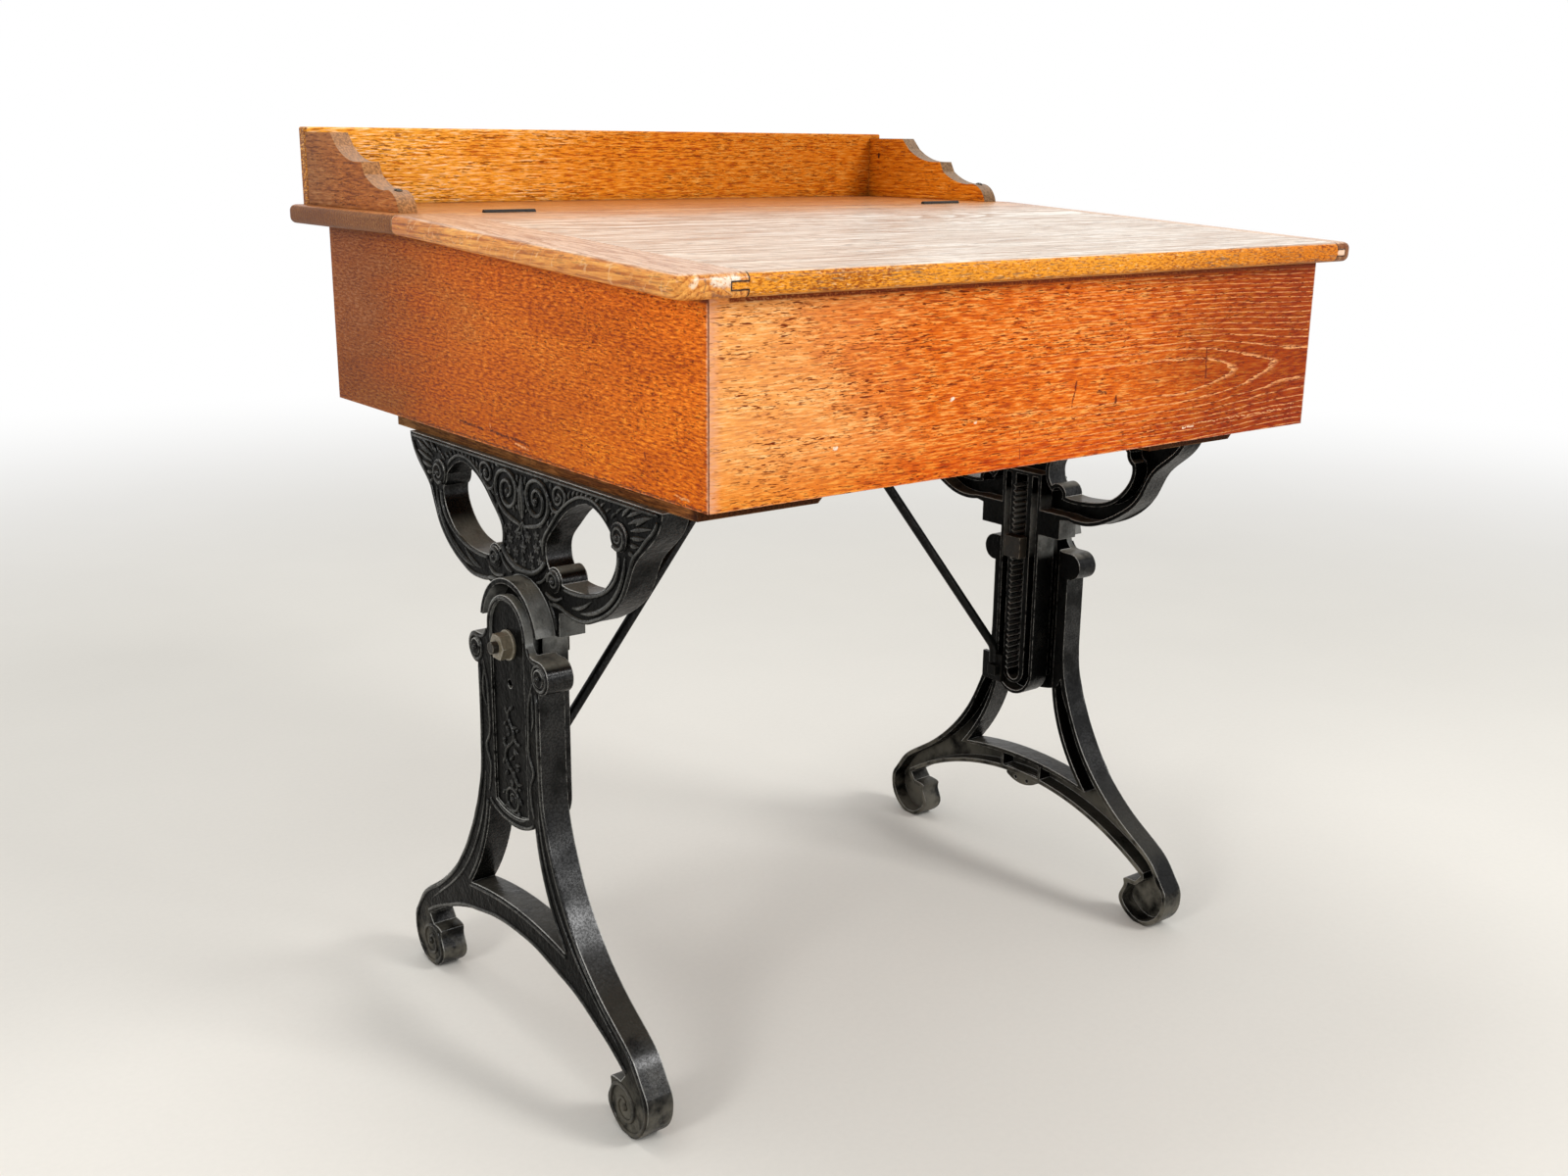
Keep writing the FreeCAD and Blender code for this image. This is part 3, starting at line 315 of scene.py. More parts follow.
def buildRayFlecks():
    # thin pale curls across the grain, as on quarter-cut oak
    group, given, out = startGroup("rayFlecks", [("Vector", "vector")], [("flecks", "value")])
    x, y, z = split(group, given["Vector"])
    leaning = join(group, timesPlus(group, z, 0.7, timesPlus(group, y, 0.4, x)), y, z)
    level = unsigned(group, minus(group, noise(group, leaning, (105, 30, 55), 1.0, 0.4), 0.5))
    shown = between(group, noise(group, leaning, (60, 40, 80), 1.0, 0.5), 0.44, 0.62)
    link(group, out["flecks"], times(group, between(group, level, 0.030, 0.008), shown))
    return group


def buildEdgeWear():
    group, given, out = startGroup("edgeWear", [("Vector", "vector"), ("radius", "value"),
                                                ("patchSize", "value")], [("mask", "value")])
    rounded = addNode(group, "Bevel", samples=6)
    link(group, rounded.inputs["Radius"], given["radius"])
    flat = addNode(group, "NewGeometry").outputs["Normal"]
    turned = minus(group, 1.0, vectorMaths(group, "DOT_PRODUCT", rounded.outputs[0], flat))
    patch = addNode(group, "TexNoise")
    link(group, patch.inputs["Vector"], given["Vector"])
    link(group, patch.inputs["Scale"], maths(group, "DIVIDE", 1.0, given["patchSize"]))
    patch.inputs["Detail"].default_value = 4
    rough = between(group, patch.outputs["Fac"], 0.32, 0.62)
    link(group, out["mask"], times(group, between(group, turned, 0.015, 0.16), rough))
    return group


def buildGrimeAndShade():
    # dirt and painted shade: a mask where ambient occlusion finds surfaces close by, in crevices, corners and
    # under overhangs
    group, given, out = startGroup("grimeAndShade", [("Vector", "vector"), ("distance", "value")],
                                   [("mask", "value")])
    closed = addNode(group, "AmbientOcclusion", samples=6)
    link(group, closed.inputs["Distance"], given["distance"])
    hidden = minus(group, 1.0, closed.outputs["AO"])
    broken = timesPlus(group, noise(group, given["Vector"], 60, 3.0), 0.8, 0.55)
    link(group, out["mask"], times(group, between(group, hidden, 0.28, 0.85), broken, clamp=True))
    return group


def buildCastSkin():
    # thick old paint over a sandy casting: smooth swells, a few pits and a little grit
    group, given, out = startGroup("castSkin", [("Vector", "vector")],
                                   [("height", "value"), ("patches", "value"), ("grit", "value")])
    grit = noise(group, given["Vector"], 620, 3.0, 0.6)
    swell = noise(group, given["Vector"], 85, 1.0, 0.4)
    lumps = noise(group, given["Vector"], 270, 1.0, 0.4)
    pits = between(group, noise(group, given["Vector"], 210, 1.0, 0.4), 0.66, 0.80)
    height = timesPlus(group, swell, 1.5, times(group, lumps, 0.75))
    height = plus(group, height, times(group, grit, 0.07))
    link(group, out["height"], minus(group, height, times(group, pits, 0.45)))
    link(group, out["patches"], noise(group, given["Vector"], 28, 4.0, 0.6))
    link(group, out["grit"], grit)
    return group


oakGrain = buildOakGrain()
lineMark = buildLineMark()
rayFlecks = buildRayFlecks()
edgeWear = buildEdgeWear()
grimeAndShade = buildGrimeAndShade()
castSkin = buildCastSkin()
print("shared shader groups ready")


def startMaterial(name):
    material = bpy.data.materials.new(name)
    material.use_nodes = True
    tree = material.node_tree
    tree.nodes.clear()
    shader = addNode(tree, "BsdfPrincipled")
    out = addNode(tree, "OutputMaterial")
    link(tree, out.inputs["Surface"], shader.outputs[0])
    coordinates = addNode(tree, "TexCoord").outputs["Object"]
    return material, tree, shader, coordinates


def addBump(tree, shader, height, distance, rounding):
    # the bevel rounds the light on sharp edges
    bump = addNode(tree, "Bump")
    bump.inputs["Distance"].default_value = distance
    bump.inputs["Strength"].default_value = 1.0
    bevel = addNode(tree, "Bevel", samples=5)
    bevel.inputs["Radius"].default_value = rounding
    link(tree, bump.inputs["Normal"], bevel.outputs[0])
    link(tree, bump.inputs["Height"], height)
    link(tree, shader.inputs["Normal"], bump.outputs[0])


# Oak: one set of values for each board

seamTint = (0.035, 0.012, 0.006)
rayTint = (0.90, 0.60, 0.30)


def jointSeam(shoulder, tip):
    # the outline of a tenon in the front edge of the lid, with its shoulders above and below
    top, high, low, bottom = 0.7500, 0.7437, 0.7377, 0.7315
    corners = [(shoulder, top), (shoulder, high), (tip, high), (tip, low), (shoulder, low),
               (shoulder, bottom)]
    return [(start, end, 0.0010, seamTint, 0.0009, 0.9) for start, end in zip(corners, corners[1:])]


leftSeam, rightSeam = jointSeam(-0.326, -0.341), jointSeam(0.360, 0.371)

# what a board doesn't say for itself
# a shift is an axis, its start and end, the tint that it brings and at times a haze
# a mark has two ends, half its width, its tint, and at times its shake and how solid it is
anyBoard = {"tipPlace": 0.9, "tipRise": 0.0, "contrast": 1.9, "specular": 0.07, "coatRoughness": 0.22,
            "poreShade": 0.42, "wearRadius": 0.0020, "wearPatch": 0.010, "edgeWear": 0.55,
            "dirtAndShade": (0.045, 0.018, 0.006), "dirtAndShadeAmount": 0.70, "bump": 0.00042, "rounding": 0.0012,
            "sawnSkyReflection": (0.48, 0.37, 0.30), "steadyMark": (0.004, 0.0), "marks": []}
oakBoards = {
    "frontOak": {
        "axes": "xzy", "ringGap": 0.0036, "pithSide": 0.638, "pithDepth": 0.372, "tipPlace": 0.300,
        "tipRise": 0.008, "waviness": 0.005, "streakScale": (62, 600, 600), "poreScale": (125, 820, 820),
        "mottling": 0.55,
        "dark": (0.44, 0.054, 0.003), "mid": (0.74, 0.148, 0.006), "light": (0.93, 0.38, 0.085),
        "contrast": 2.4,
        "shifts": [("x", 0.00, 0.33, (0.52, 0.34, 0.2)),
                   ("x", -0.12, -0.34, (1.10, 1.70, 3.5), (0.98, 0.47, 0.155)),
                   ("z", 0.625, 0.580, (0.90, 0.68, 0.3)), ("x", 0.08, 0.24, (0.84, 0.76, 0.5))],
        "ringTone": -0.08, "paleRings": ("x", -0.16, 0.16, (0.88, 0.41, 0.16), 0.85), "poreAmount": 1.0,
        "bare": (0.84, 0.52, 0.38), "roughness": 0.40, "grimeAndShadeReach": 0.020,
        "endWearAndShade": ("x", -0.3370, -0.3490, (0.78, 0.36, 0.19)),
        "marks": [((0.0283, 0.6435), (0.0241, 0.6232), 0.0013, (0.16, 0.02, 0.006)),
                  ((0.1978, 0.6595), (0.1993, 0.6336), 0.0015, (0.15, 0.02, 0.006)),
                  ((0.0798, 0.6268), (0.0791, 0.6219), 0.0018, (0.12, 0.02, 0.006)),
                  ((0.0560, 0.6330), (0.0660, 0.6312), 0.0020, (0.12, 0.02, 0.006)),
                  ((-0.0371, 0.6078), (-0.0354, 0.5850), 0.0009, (0.25, 0.04, 0.01)),
                  ((0.1871, 0.5932), (0.3500, 0.5952), 0.0007, (0.80, 0.40, 0.18)),
                  ((0.2850, 0.5985), (0.3350, 0.5990), 0.0006, (0.72, 0.32, 0.12)),
                  ((0.1720, 0.5905), (0.1860, 0.5907), 0.0012, (0.90, 0.62, 0.42)),
                  ((-0.1150, 0.6412), (-0.1130, 0.6412), 0.0022, (0.95, 0.75, 0.58)),
                  ((-0.2345, 0.6143), (-0.2325, 0.6143), 0.0022, (0.95, 0.75, 0.58)),
                  ((-0.0890, 0.6200), (-0.0870, 0.6200), 0.0016, (0.95, 0.70, 0.50)),
                  ((-0.3497, 0.5780), (-0.3497, 0.7330), 0.0011, (0.14, 0.028, 0.016), 0.0010, 0.85),
                  # painted shadow: the dark line below is the shade under the lid's overhang
                  ((-0.3300, 0.7300), (0.3500, 0.7300), 0.0036, (0.20, 0.036, 0.008), 0.0015, 0.7)]},
    "sideOak": {
        "axes": "yzx", "ringGap": 0.0042, "pithSide": 0.50, "pithDepth": 0.30, "waviness": 0.010,
        "streakScale": (120, 560, 560), "poreScale": (190, 720, 720), "mottling": 0.8,
        # the side board's darker tones and its darkening towards the back are partly the board's own tone and
        # partly painted shade
        "dark": (0.30, 0.042, 0.002), "mid": (0.63, 0.136, 0.006), "light": (0.88, 0.29, 0.035),
        "contrast": 2.3,
        "shifts": [("y", -0.05, 0.30, (0.45, 0.52, 1.6)), ("y", -0.10, -0.33, (1.24, 1.22, 1.0)),
                   ("z", 0.660, 0.585, (0.88, 0.82, 0.5))],
        "ringTone": 0.10, "poreAmount": 0.85, "bare": (0.84, 0.48, 0.28), "roughness": 0.44,
        "grimeAndShadeReach": 0.022,
        "endWearAndShade": ("y", -0.3285, -0.3325, (0.80, 0.42, 0.26)),
        "marks": [((0.0570, 0.5925), (0.0120, 0.5905), 0.0017, (0.10, 0.018, 0.006)),
                  ((-0.0020, 0.5915), (-0.0340, 0.5895), 0.0020, (0.10, 0.018, 0.006)),
                  ((-0.0380, 0.5905), (-0.0700, 0.5880), 0.0016, (0.12, 0.020, 0.006)),
                  ((-0.0010, 0.5975), (-0.0015, 0.5945), 0.0012, (0.74, 0.34, 0.13)),
                  ((-0.0450, 0.5865), (-0.0680, 0.5845), 0.0012, (0.80, 0.36, 0.14)),
                  ((0.1900, 0.5800), (-0.3300, 0.5795), 0.0012, (0.16, 0.040, 0.012)),
                  ((-0.2480, 0.6100), (-0.2500, 0.6060), 0.0016, (0.20, 0.03, 0.008)),
                  ((-0.2900, 0.5850), (-0.3080, 0.5835), 0.0014, (0.76, 0.34, 0.13)),
                  # painted shadow: the dark line below is the shade under the lid's overhang
                  ((-0.3300, 0.7300), (0.1000, 0.7503), 0.0034, (0.15, 0.032, 0.010), 0.0015, 0.7)]},
    "backOak": {
        "axes": "xzy", "ringGap": 0.0052, "pithSide": 0.70, "pithDepth": -0.25, "tipPlace": -0.02,
        "tipRise": 0.010, "waviness": 0.020, "streakScale": (45, 520, 520), "poreScale": (110, 760, 760),
        "mottling": 0.8,
        "dark": (0.24, 0.050, 0.008), "mid": (0.46, 0.120, 0.020), "light": (0.62, 0.22, 0.055),
        "shifts": [("z", 0.70, 0.58, (0.62, 0.65, 0.8))],
        "ringTone": 0.22, "poreAmount": 0.8, "bare": (0.66, 0.38, 0.20), "roughness": 0.5,
        "grimeAndShadeReach": 0.03},
    "lidOak": {
        "axes": "xyz", "ringGap": 0.0060, "pithSide": -0.02, "pithDepth": -0.690, "tipPlace": 0.22,
        "tipRise": 0.020, "waviness": 0.024, "streakScale": (11, 170, 620), "poreScale": (55, 420, 820),
        "mottling": 0.5,
        # the pale mid and light tones of the top are weathered varnish with a painted sky reflection
        "dark": (0.48, 0.31, 0.195), "mid": (0.85, 0.75, 0.63), "light": (0.93, 0.89, 0.84), "contrast": 2.3,
        "shifts": [("y", -0.02, 0.10, (0.84, 0.50, 0.26)), ("x", 0.02, -0.36, (1.06, 0.98, 0.90))],
        "ringTone": 1.0, "poreAmount": 0.75, "bare": (0.84, 0.64, 0.46), "roughness": 0.30,
        "grimeAndShadeReach": 0.010,
        "gloss": 0.35, "edgeColour": (0.74, 0.225, 0.009), "edgeGloss": 0.2,
        "speckle": {"low": (0.44, 0.30, 0.20), "high": (1.2, 1.5, 2.6), "rightEnd": (0.76, 0.58, 0.3)},
        "under": (0.72, 0.42, 0.16), "marks": leftSeam + rightSeam
        + [((0.3625, 0.7407), (0.3695, 0.7407), 0.0034, (0.80, 0.56, 0.40), 0.0015, 1.0)]},
    "leftClampOak": {
        "axes": "yxz", "ringGap": 0.0045, "pithSide": -0.36, "pithDepth": -0.722, "waviness": 0.006,
        "streakScale": (36, 420, 420), "poreScale": (110, 700, 700), "mottling": 0.7,
        "dark": (0.46, 0.200, 0.075), "mid": (0.74, 0.45, 0.27), "light": (0.90, 0.68, 0.48),
        "shifts": [("y", -0.02, 0.10, (0.74, 0.60, 0.5))],
        "ringTone": 0.40, "poreAmount": 0.5, "bare": (0.86, 0.62, 0.40), "roughness": 0.30,
        "grimeAndShadeReach": 0.010,
        "gloss": 0.45, "edgeColour": (0.76, 0.300, 0.056), "edgeGloss": 0.8, "flecks": 0.40,
        # the first two pale marks are painted highlights: glare on the clamp's rounded front end
        "marks": [((-0.3550, 0.7440), (-0.3380, 0.7445), 0.0055, (0.93, 0.74, 0.56), 0.0050, 0.2),
                  ((-0.3740, 0.7420), (-0.3700, 0.7460), 0.0030, (0.90, 0.66, 0.44), 0.0040, 0.2),
                  ((-0.3620, 0.7480), (-0.3640, 0.7360), 0.0008, (0.36, 0.16, 0.06), 0.0060, 0.6),
                  ((-0.3560, 0.7350), (-0.3400, 0.7330), 0.0022, (0.34, 0.13, 0.05), 0.0060, 0.3)]
        + leftSeam},
    "rightClampOak": {
        "axes": "yxz", "ringGap": 0.0050, "pithSide": 0.55, "pithDepth": -0.66, "waviness": 0.010,
        "streakScale": (36, 420, 420), "poreScale": (110, 700, 700), "mottling": 0.7,
        "dark": (0.40, 0.160, 0.055), "mid": (0.70, 0.43, 0.25), "light": (0.86, 0.62, 0.42),
        "shifts": [("y", -0.02, 0.10, (0.74, 0.60, 0.5))],
        "ringTone": 0.14, "poreAmount": 0.6, "bare": (0.84, 0.60, 0.38), "roughness": 0.28,
        "grimeAndShadeReach": 0.010,
        "gloss": 0.45, "edgeColour": (0.26, 0.090, 0.022), "edgeGloss": 0.5, "flecks": 0.25,
        "marks": rightSeam},
    "railOak": {
        "axes": "xyz", "ringGap": 0.0054, "pithSide": 0.55, "pithDepth": -0.72, "waviness": 0.016,
        "streakScale": (34, 520, 520), "poreScale": (90, 700, 700), "mottling": 0.7,
        "dark": (0.30, 0.085, 0.016), "mid": (0.58, 0.220, 0.060), "light": (0.76, 0.40, 0.16),
        "shifts": [("y", 0.12, 0.33, (0.72, 0.66, 0.6))],
        "ringTone": 0.18, "poreAmount": 0.75, "bare": (0.74, 0.44, 0.22), "roughness": 0.34,
        "grimeAndShadeReach": 0.02,
        "gloss": 0.3, "edgeColour": (0.25, 0.085, 0.018), "edgeGloss": 0.4},
    "galleryOak": {
        "axes": "xzy", "ringGap": 0.0044, "pithSide": 0.90, "pithDepth": -0.45, "tipPlace": 0.9,
        "tipRise": 0.004, "waviness": 0.012, "streakScale": (60, 560, 560), "poreScale": (120, 820, 820),
        "mottling": 0.7,
        "dark": (0.48, 0.086, 0.002), "mid": (0.84, 0.260, 0.008), "light": (0.95, 0.45, 0.090),
        "contrast": 2.4,
        "shifts": [("x", -0.20, 0.34, (0.74, 0.64, 0.5)), ("x", 0.02, -0.32, (1.24, 1.75, 5.0))],
        "ringTone": 0.12, "poreAmount": 0.85, "bare": (0.86, 0.50, 0.26), "roughness": 0.40,
        "grimeAndShadeReach": 0.022,
        # painted shade: the left end face of the gallery back is darkened
        "endWearAndShade": ("x", -0.3665, -0.3690, (0.22, 0.070, 0.022))},
    "leftGalleryEndOak": {
        "axes": "yzx", "ringGap": 0.0046, "pithSide": 0.90, "pithDepth": 0.42, "tipPlace": 0.24,
        "tipRise": 0.008, "waviness": 0.012, "streakScale": (60, 560, 560), "poreScale": (130, 760, 760),
        "mottling": 0.8,
        "dark": (0.20, 0.046, 0.008), "mid": (0.43, 0.130, 0.026), "light": (0.60, 0.24, 0.068),
        "shifts": [("y", 0.20, 0.34, (0.75, 0.9, 1.3))], "profile": (0.40, 0.175, 0.060), "edgeWear": 0.15,
        "ringTone": 0.15, "poreAmount": 0.75, "bare": (0.70, 0.40, 0.20), "roughness": 0.44,
        "grimeAndShadeReach": 0.016},
    # the right end is tinted lighter than the left: painted light over the shade on its inner face
    "rightGalleryEndOak": {
        "axes": "yzx", "ringGap": 0.0046, "pithSide": 0.70, "pithDepth": -0.32, "tipPlace": 0.20,
        "tipRise": 0.010, "waviness": 0.012, "streakScale": (50, 520, 520), "poreScale": (110, 760, 760),
        "mottling": 0.7,
        "dark": (0.42, 0.074, 0.002), "mid": (0.72, 0.205, 0.007), "light": (0.92, 0.38, 0.06),
        "shifts": [("y", 0.20, 0.33, (0.72, 0.65, 0.6))], "profile": (0.21, 0.122, 0.062), "edgeWear": 0.15,
        "ringTone": 0.22, "poreAmount": 0.8, "bare": (0.76, 0.44, 0.20), "roughness": 0.42,
        "grimeAndShadeReach": 0.016,
        "marks": [((0.3070, 0.8215), (0.3070, 0.8180), 0.0026, (0.05, 0.010, 0.004), 0.001, 1.0)]},
    "battenOak": {
        "axes": "yxz", "ringGap": 0.0050, "pithSide": 0.60, "pithDepth": -0.45, "waviness": 0.012,
        "streakScale": (40, 620, 620), "poreScale": (90, 820, 820), "mottling": 0.9,
        "dark": (0.12, 0.038, 0.010), "mid": (0.32, 0.120, 0.030), "light": (0.50, 0.23, 0.075),
        # the second shift is painted shade: the batten's front end face is darkened to shadow
        "shifts": [("y", -0.2, 0.3, (0.6, 0.7, 0.8)), ("y", -0.262, -0.272, (0.20, 0.16, 0.14))],
        "ringTone": 0.25, "poreAmount": 0.8, "bare": (0.50, 0.29, 0.13), "roughness": 0.62,
        "grimeAndShadeReach": 0.03},
    "bottomOak": {
        "axes": "xyz", "ringGap": 0.0060, "pithSide": 0.10, "pithDepth": -0.48, "tipPlace": 0.05,
        "tipRise": 0.014, "waviness": 0.030, "streakScale": (40, 480, 480), "poreScale": (90, 700, 700),
        "mottling": 0.9,
        "dark": (0.20, 0.072, 0.028), "mid": (0.36, 0.150, 0.062), "light": (0.50, 0.25, 0.12),
        "shifts": [("y", -0.1, 0.3, (0.7, 0.75, 0.8))],
        "ringTone": 0.2, "poreAmount": 0.6, "bare": (0.52, 0.32, 0.17), "roughness": 0.66,
        "grimeAndShadeReach": 0.03},
}


def shiftTint(tree, colour, parts, grain, shift):
    # a ragged change of tint along one axis, with haze where the finish has gone dull
    letter, start, end, factors, *haze = shift
    ragged = swing(tree, grain["mottle"], (end - start) * 0.9, parts[letter])
    tinted = tint(tree, colour, factors)
    if haze:
        tinted = mixColour(tree, 0.5, tinted, haze[0])
    return mixColour(tree, between(tree, ragged, start, end), colour, tinted)


def speckledEdge(tree, spec, coordinates, parts, grain, facing, colour):
    # broken dashes of varnish on the front edge, and the underside's own grain
    speckle, edge = spec["speckle"], spec["edgeColour"]
    dashes = swing(tree, grain["mottle"], 0.3, noise(tree, coordinates, (210, 420, 760), 3.0, 0.7))
    kept = mixColour(tree, between(tree, dashes, 0.34, 0.57), [v * f for v, f in zip(edge, speckle["low"])],
                     [min(0.93, v * f) for v, f in zip(edge, speckle["high"])])
    pale = between(tree, noise(tree, coordinates, (150, 400, 900), 2.0), 0.58, 0.70, 0.0, 0.6)
    kept = mixColour(tree, pale, kept, rayTint)
    kept = mixColour(tree, between(tree, parts["x"], 0.06, 0.34), kept, speckle["rightEnd"], "MULTIPLY")
    return mixColour(tree, between(tree, facing, -0.60, -0.90), kept, tint(tree, colour, spec["under"]))


def makeOak(name, spec):
    spec = {**anyBoard, **spec}
    material, tree, shader, coordinates = startMaterial(name)
    shader.inputs["Specular IOR Level"].default_value = spec["specular"]
    parts = dict(zip("xyz", split(tree, coordinates)))
    along = join(tree, *(parts[letter] for letter in spec["axes"]))
    figure = ("ringGap", "pithSide", "pithDepth", "tipPlace", "tipRise", "waviness", "streakScale",
              "poreScale")
    grain = useGroup(tree, oakGrain, Vector=along, **{label: spec[label] for label in figure})
    tone = swing(tree, grain["fibres"], spec["contrast"], 0.5)
    tone = swing(tree, grain["mottle"], spec["mottling"], tone)
    tone = timesPlus(tree, grain["rings"], -spec["ringTone"], tone)
    colour = mixColour(tree, between(tree, tone, 0.08, 0.52), spec["dark"], spec["mid"])
    colour = mixColour(tree, between(tree, tone, 0.48, 0.95), colour, spec["light"])
    for shift in spec["shifts"]:
        colour = shiftTint(tree, colour, parts, grain, shift)
    if "paleRings" in spec:
        # old filler shows pale in the rings at one end
        letter, start, end, pale, amount = spec["paleRings"]
        line = times(tree, between(tree, grain["rings"], 0.46, 0.80),
                     between(tree, grain["fibres"], 0.30, 0.54))
        shown = times(tree, line, between(tree, parts[letter], start, end), amount)
        colour = mixColour(tree, shown, colour, pale)
    roughness = timesPlus(tree, grain["fibres"], 0.22, spec["roughness"] - 0.10)
    if "edgeColour" in spec:
        # the varnish has kept its colour on the edges; the tops are pale, partly weathered varnish and partly
        # a painted reflection of the bright sky
        facing = ownNormal(tree)[2]
        level = between(tree, facing, 0.72, 0.93)
        if "speckle" in spec:
            kept = speckledEdge(tree, spec, coordinates, parts, grain, facing, colour)
        else:
            kept = tint(tree, colour, [min(2.0, e / m) for e, m in zip(spec["edgeColour"], spec["mid"])])
        if "flecks" in spec:
            rays = useGroup(tree, rayFlecks, Vector=along)["flecks"]
            kept = mixColour(tree, times(tree, rays, spec["flecks"]), kept, rayTint)
        colour = mixColour(tree, level, kept, colour)
        roughness = timesPlus(tree, minus(tree, 1.0, level), 0.12, roughness)
        glossy = larger(tree, level, spec["edgeGloss"])
        link(tree, shader.inputs["Coat Weight"], times(tree, glossy, spec["gloss"]))
        shader.inputs["Coat Roughness"].default_value = spec["coatRoughness"]
    colour = mixColour(tree, times(tree, grain["pores"], spec["poreAmount"]), colour,
                       rgba(spec["dark"], spec["poreShade"]))
    if "profile" in spec:
        # the sawn outline of a gallery end is dull and grey beside its face
        outline = between(tree, unsigned(tree, ownNormal(tree)[0]), 0.7, 0.3)
        sawn = mixColour(tree, between(tree, grain["fibres"], 0.35, 0.65), rgba(spec["profile"], 0.55),
                         rgba(spec["profile"], 1.25))
        # painted reflection: the upward parts of the sawn outline are lightened as if they caught the sky
        lit = between(tree, ownNormal(tree)[2], 0.35, 1.0, 0.0, 0.25)
        colour = mixColour(tree, outline, colour, mixColour(tree, lit, sawn, spec["sawnSkyReflection"]))
    if "endWearAndShade" in spec:
        # an end face retinted in ragged strokes: pale wear on the front and side boards, painted shade on the
        # gallery back
        letter, start, end, pale = spec["endWearAndShade"]
        ragged = swing(tree, grain["fibres"], (end - start) * 1.4, parts[letter])
        strokes = between(tree, noise(tree, coordinates, (170, 170, 560), 2.0), 0.36, 0.56, 0.35, 0.95)
        colour = mixColour(tree, times(tree, between(tree, ragged, start, end), strokes), colour, pale)
    worn = useGroup(tree, edgeWear, Vector=coordinates, radius=spec["wearRadius"],
                    patchSize=spec["wearPatch"])["mask"]
    colour = mixColour(tree, times(tree, worn, spec["edgeWear"]), colour, spec["bare"])
    # dirt and painted shade: a dark brown tint in crevices and under the lid's overhang
    dirtAndShade = useGroup(tree, grimeAndShade, Vector=coordinates, distance=spec["grimeAndShadeReach"])["mask"]
    colour = mixColour(tree, times(tree, dirtAndShade, spec["dirtAndShadeAmount"]), colour, spec["dirtAndShade"])
    # the marks lie on the upright face only
    onEnd = "x" in spec["axes"][:2]
    face = join(tree, parts["x" if onEnd else "y"], parts["z"], 0.0)
    upright = between(tree, unsigned(tree, ownNormal(tree)[1 if onEnd else 0]), 0.15, 0.40)
    for start, end, halfWidth, markTint, *nature in spec["marks"]:
        shake, solid = nature or spec["steadyMark"]
        mark = useGroup(tree, lineMark, Vector=face, start=(*start, 0), end=(*end, 0), halfWidth=halfWidth,
                        shake=shake, solid=solid)["mask"]
        colour = mixColour(tree, times(tree, mark, upright), colour, markTint)
    link(tree, shader.inputs["Base Color"], colour)
    link(tree, shader.inputs["Roughness"], timesPlus(tree, larger(tree, worn, dirtAndShade), 0.25, roughness))
    addBump(tree, shader, grain["height"], spec["bump"], spec["rounding"])
    return material


# Iron and steel

anyMetal = {"footDust": 0.0, "recessDust": 0.0, "polish": 0.0, "coatRoughness": 0.14, "sand": 0.12,
            "wearRadius": 0.0016, "wearPatch": 0.006, "crevice": 0.006, "rounding": 0.0016}
metals = {
    "castIron": {
        "base": (0.0022, 0.0022, 0.0020), "brown": (0.165, 0.152, 0.122), "edge": (0.34, 0.33, 0.30),
        "roughness": 0.28, "bump": 0.00080, "upWear": 0.90, "edgeWear": 0.75, "rust": 0.03, "footDust": 0.75,
        "recessDust": 0.85, "shine": 0.03, "polish": 0.7, "coatRoughness": 0.24, "sand": 0.45,
        # the pale arris colour is a painted highlight on sharp edges that face upward
        "arrisHighlight": (0.62, 0.61, 0.57), "arrisHighlightRadius": 0.0020,
        "hood": {"foot": (0.385, 0.400), "top": (0.462, 0.452), "halfWidth": (0.064, 0.056),
                 "colour": (0.20, 0.20, 0.185)}},
    "castRelief": {
        "base": (0.0030, 0.0030, 0.0027), "brown": (0.100, 0.085, 0.060), "edge": (0.19, 0.18, 0.16),
        "roughness": 0.26, "bump": 0.00025, "upWear": 0.50, "edgeWear": 0.30, "rust": 0.02, "footDust": 0.6,
        "shine": 0.06, "polish": 0.9, "crest": (0.048, 0.047, 0.041)},
    "braceIron": {
        "base": (0.004, 0.004, 0.0036), "brown": (0.045, 0.034, 0.024), "edge": (0.10, 0.09, 0.07),
        "roughness": 0.30, "bump": 0.0005, "upWear": 0.30, "edgeWear": 0.4, "rust": 0.12,
        "shine": 0.06, "polish": 0.4},
    "boltSteel": {
        "base": (0.020, 0.017, 0.013), "brown": (0.080, 0.045, 0.022), "edge": (0.42, 0.38, 0.30),
        "roughness": 0.36, "bump": 0.0005, "upWear": 0.3, "edgeWear": 0.7, "rust": 0.35, "shine": 0.15},
    "rustySteel": {
        "base": (0.150, 0.126, 0.085), "brown": (0.180, 0.098, 0.048), "edge": (0.55, 0.51, 0.42),
        "roughness": 0.38, "bump": 0.0010, "upWear": 0.3, "edgeWear": 0.8, "rust": 0.75, "shine": 0.5},
    "hingeSteel": {
        "base": (0.012, 0.009, 0.007), "brown": (0.05, 0.028, 0.014), "edge": (0.16, 0.13, 0.10),
        "roughness": 0.42, "bump": 0.0003, "upWear": 0.2, "edgeWear": 0.3, "rust": 0.3, "shine": 0.2},
    "screwSteel": {
        "base": (0.030, 0.022, 0.016), "brown": (0.10, 0.055, 0.026), "edge": (0.30, 0.26, 0.20),
        "roughness": 0.40, "bump": 0.00025, "upWear": 0.2, "edgeWear": 0.5, "rust": 0.35, "shine": 0.3},
}


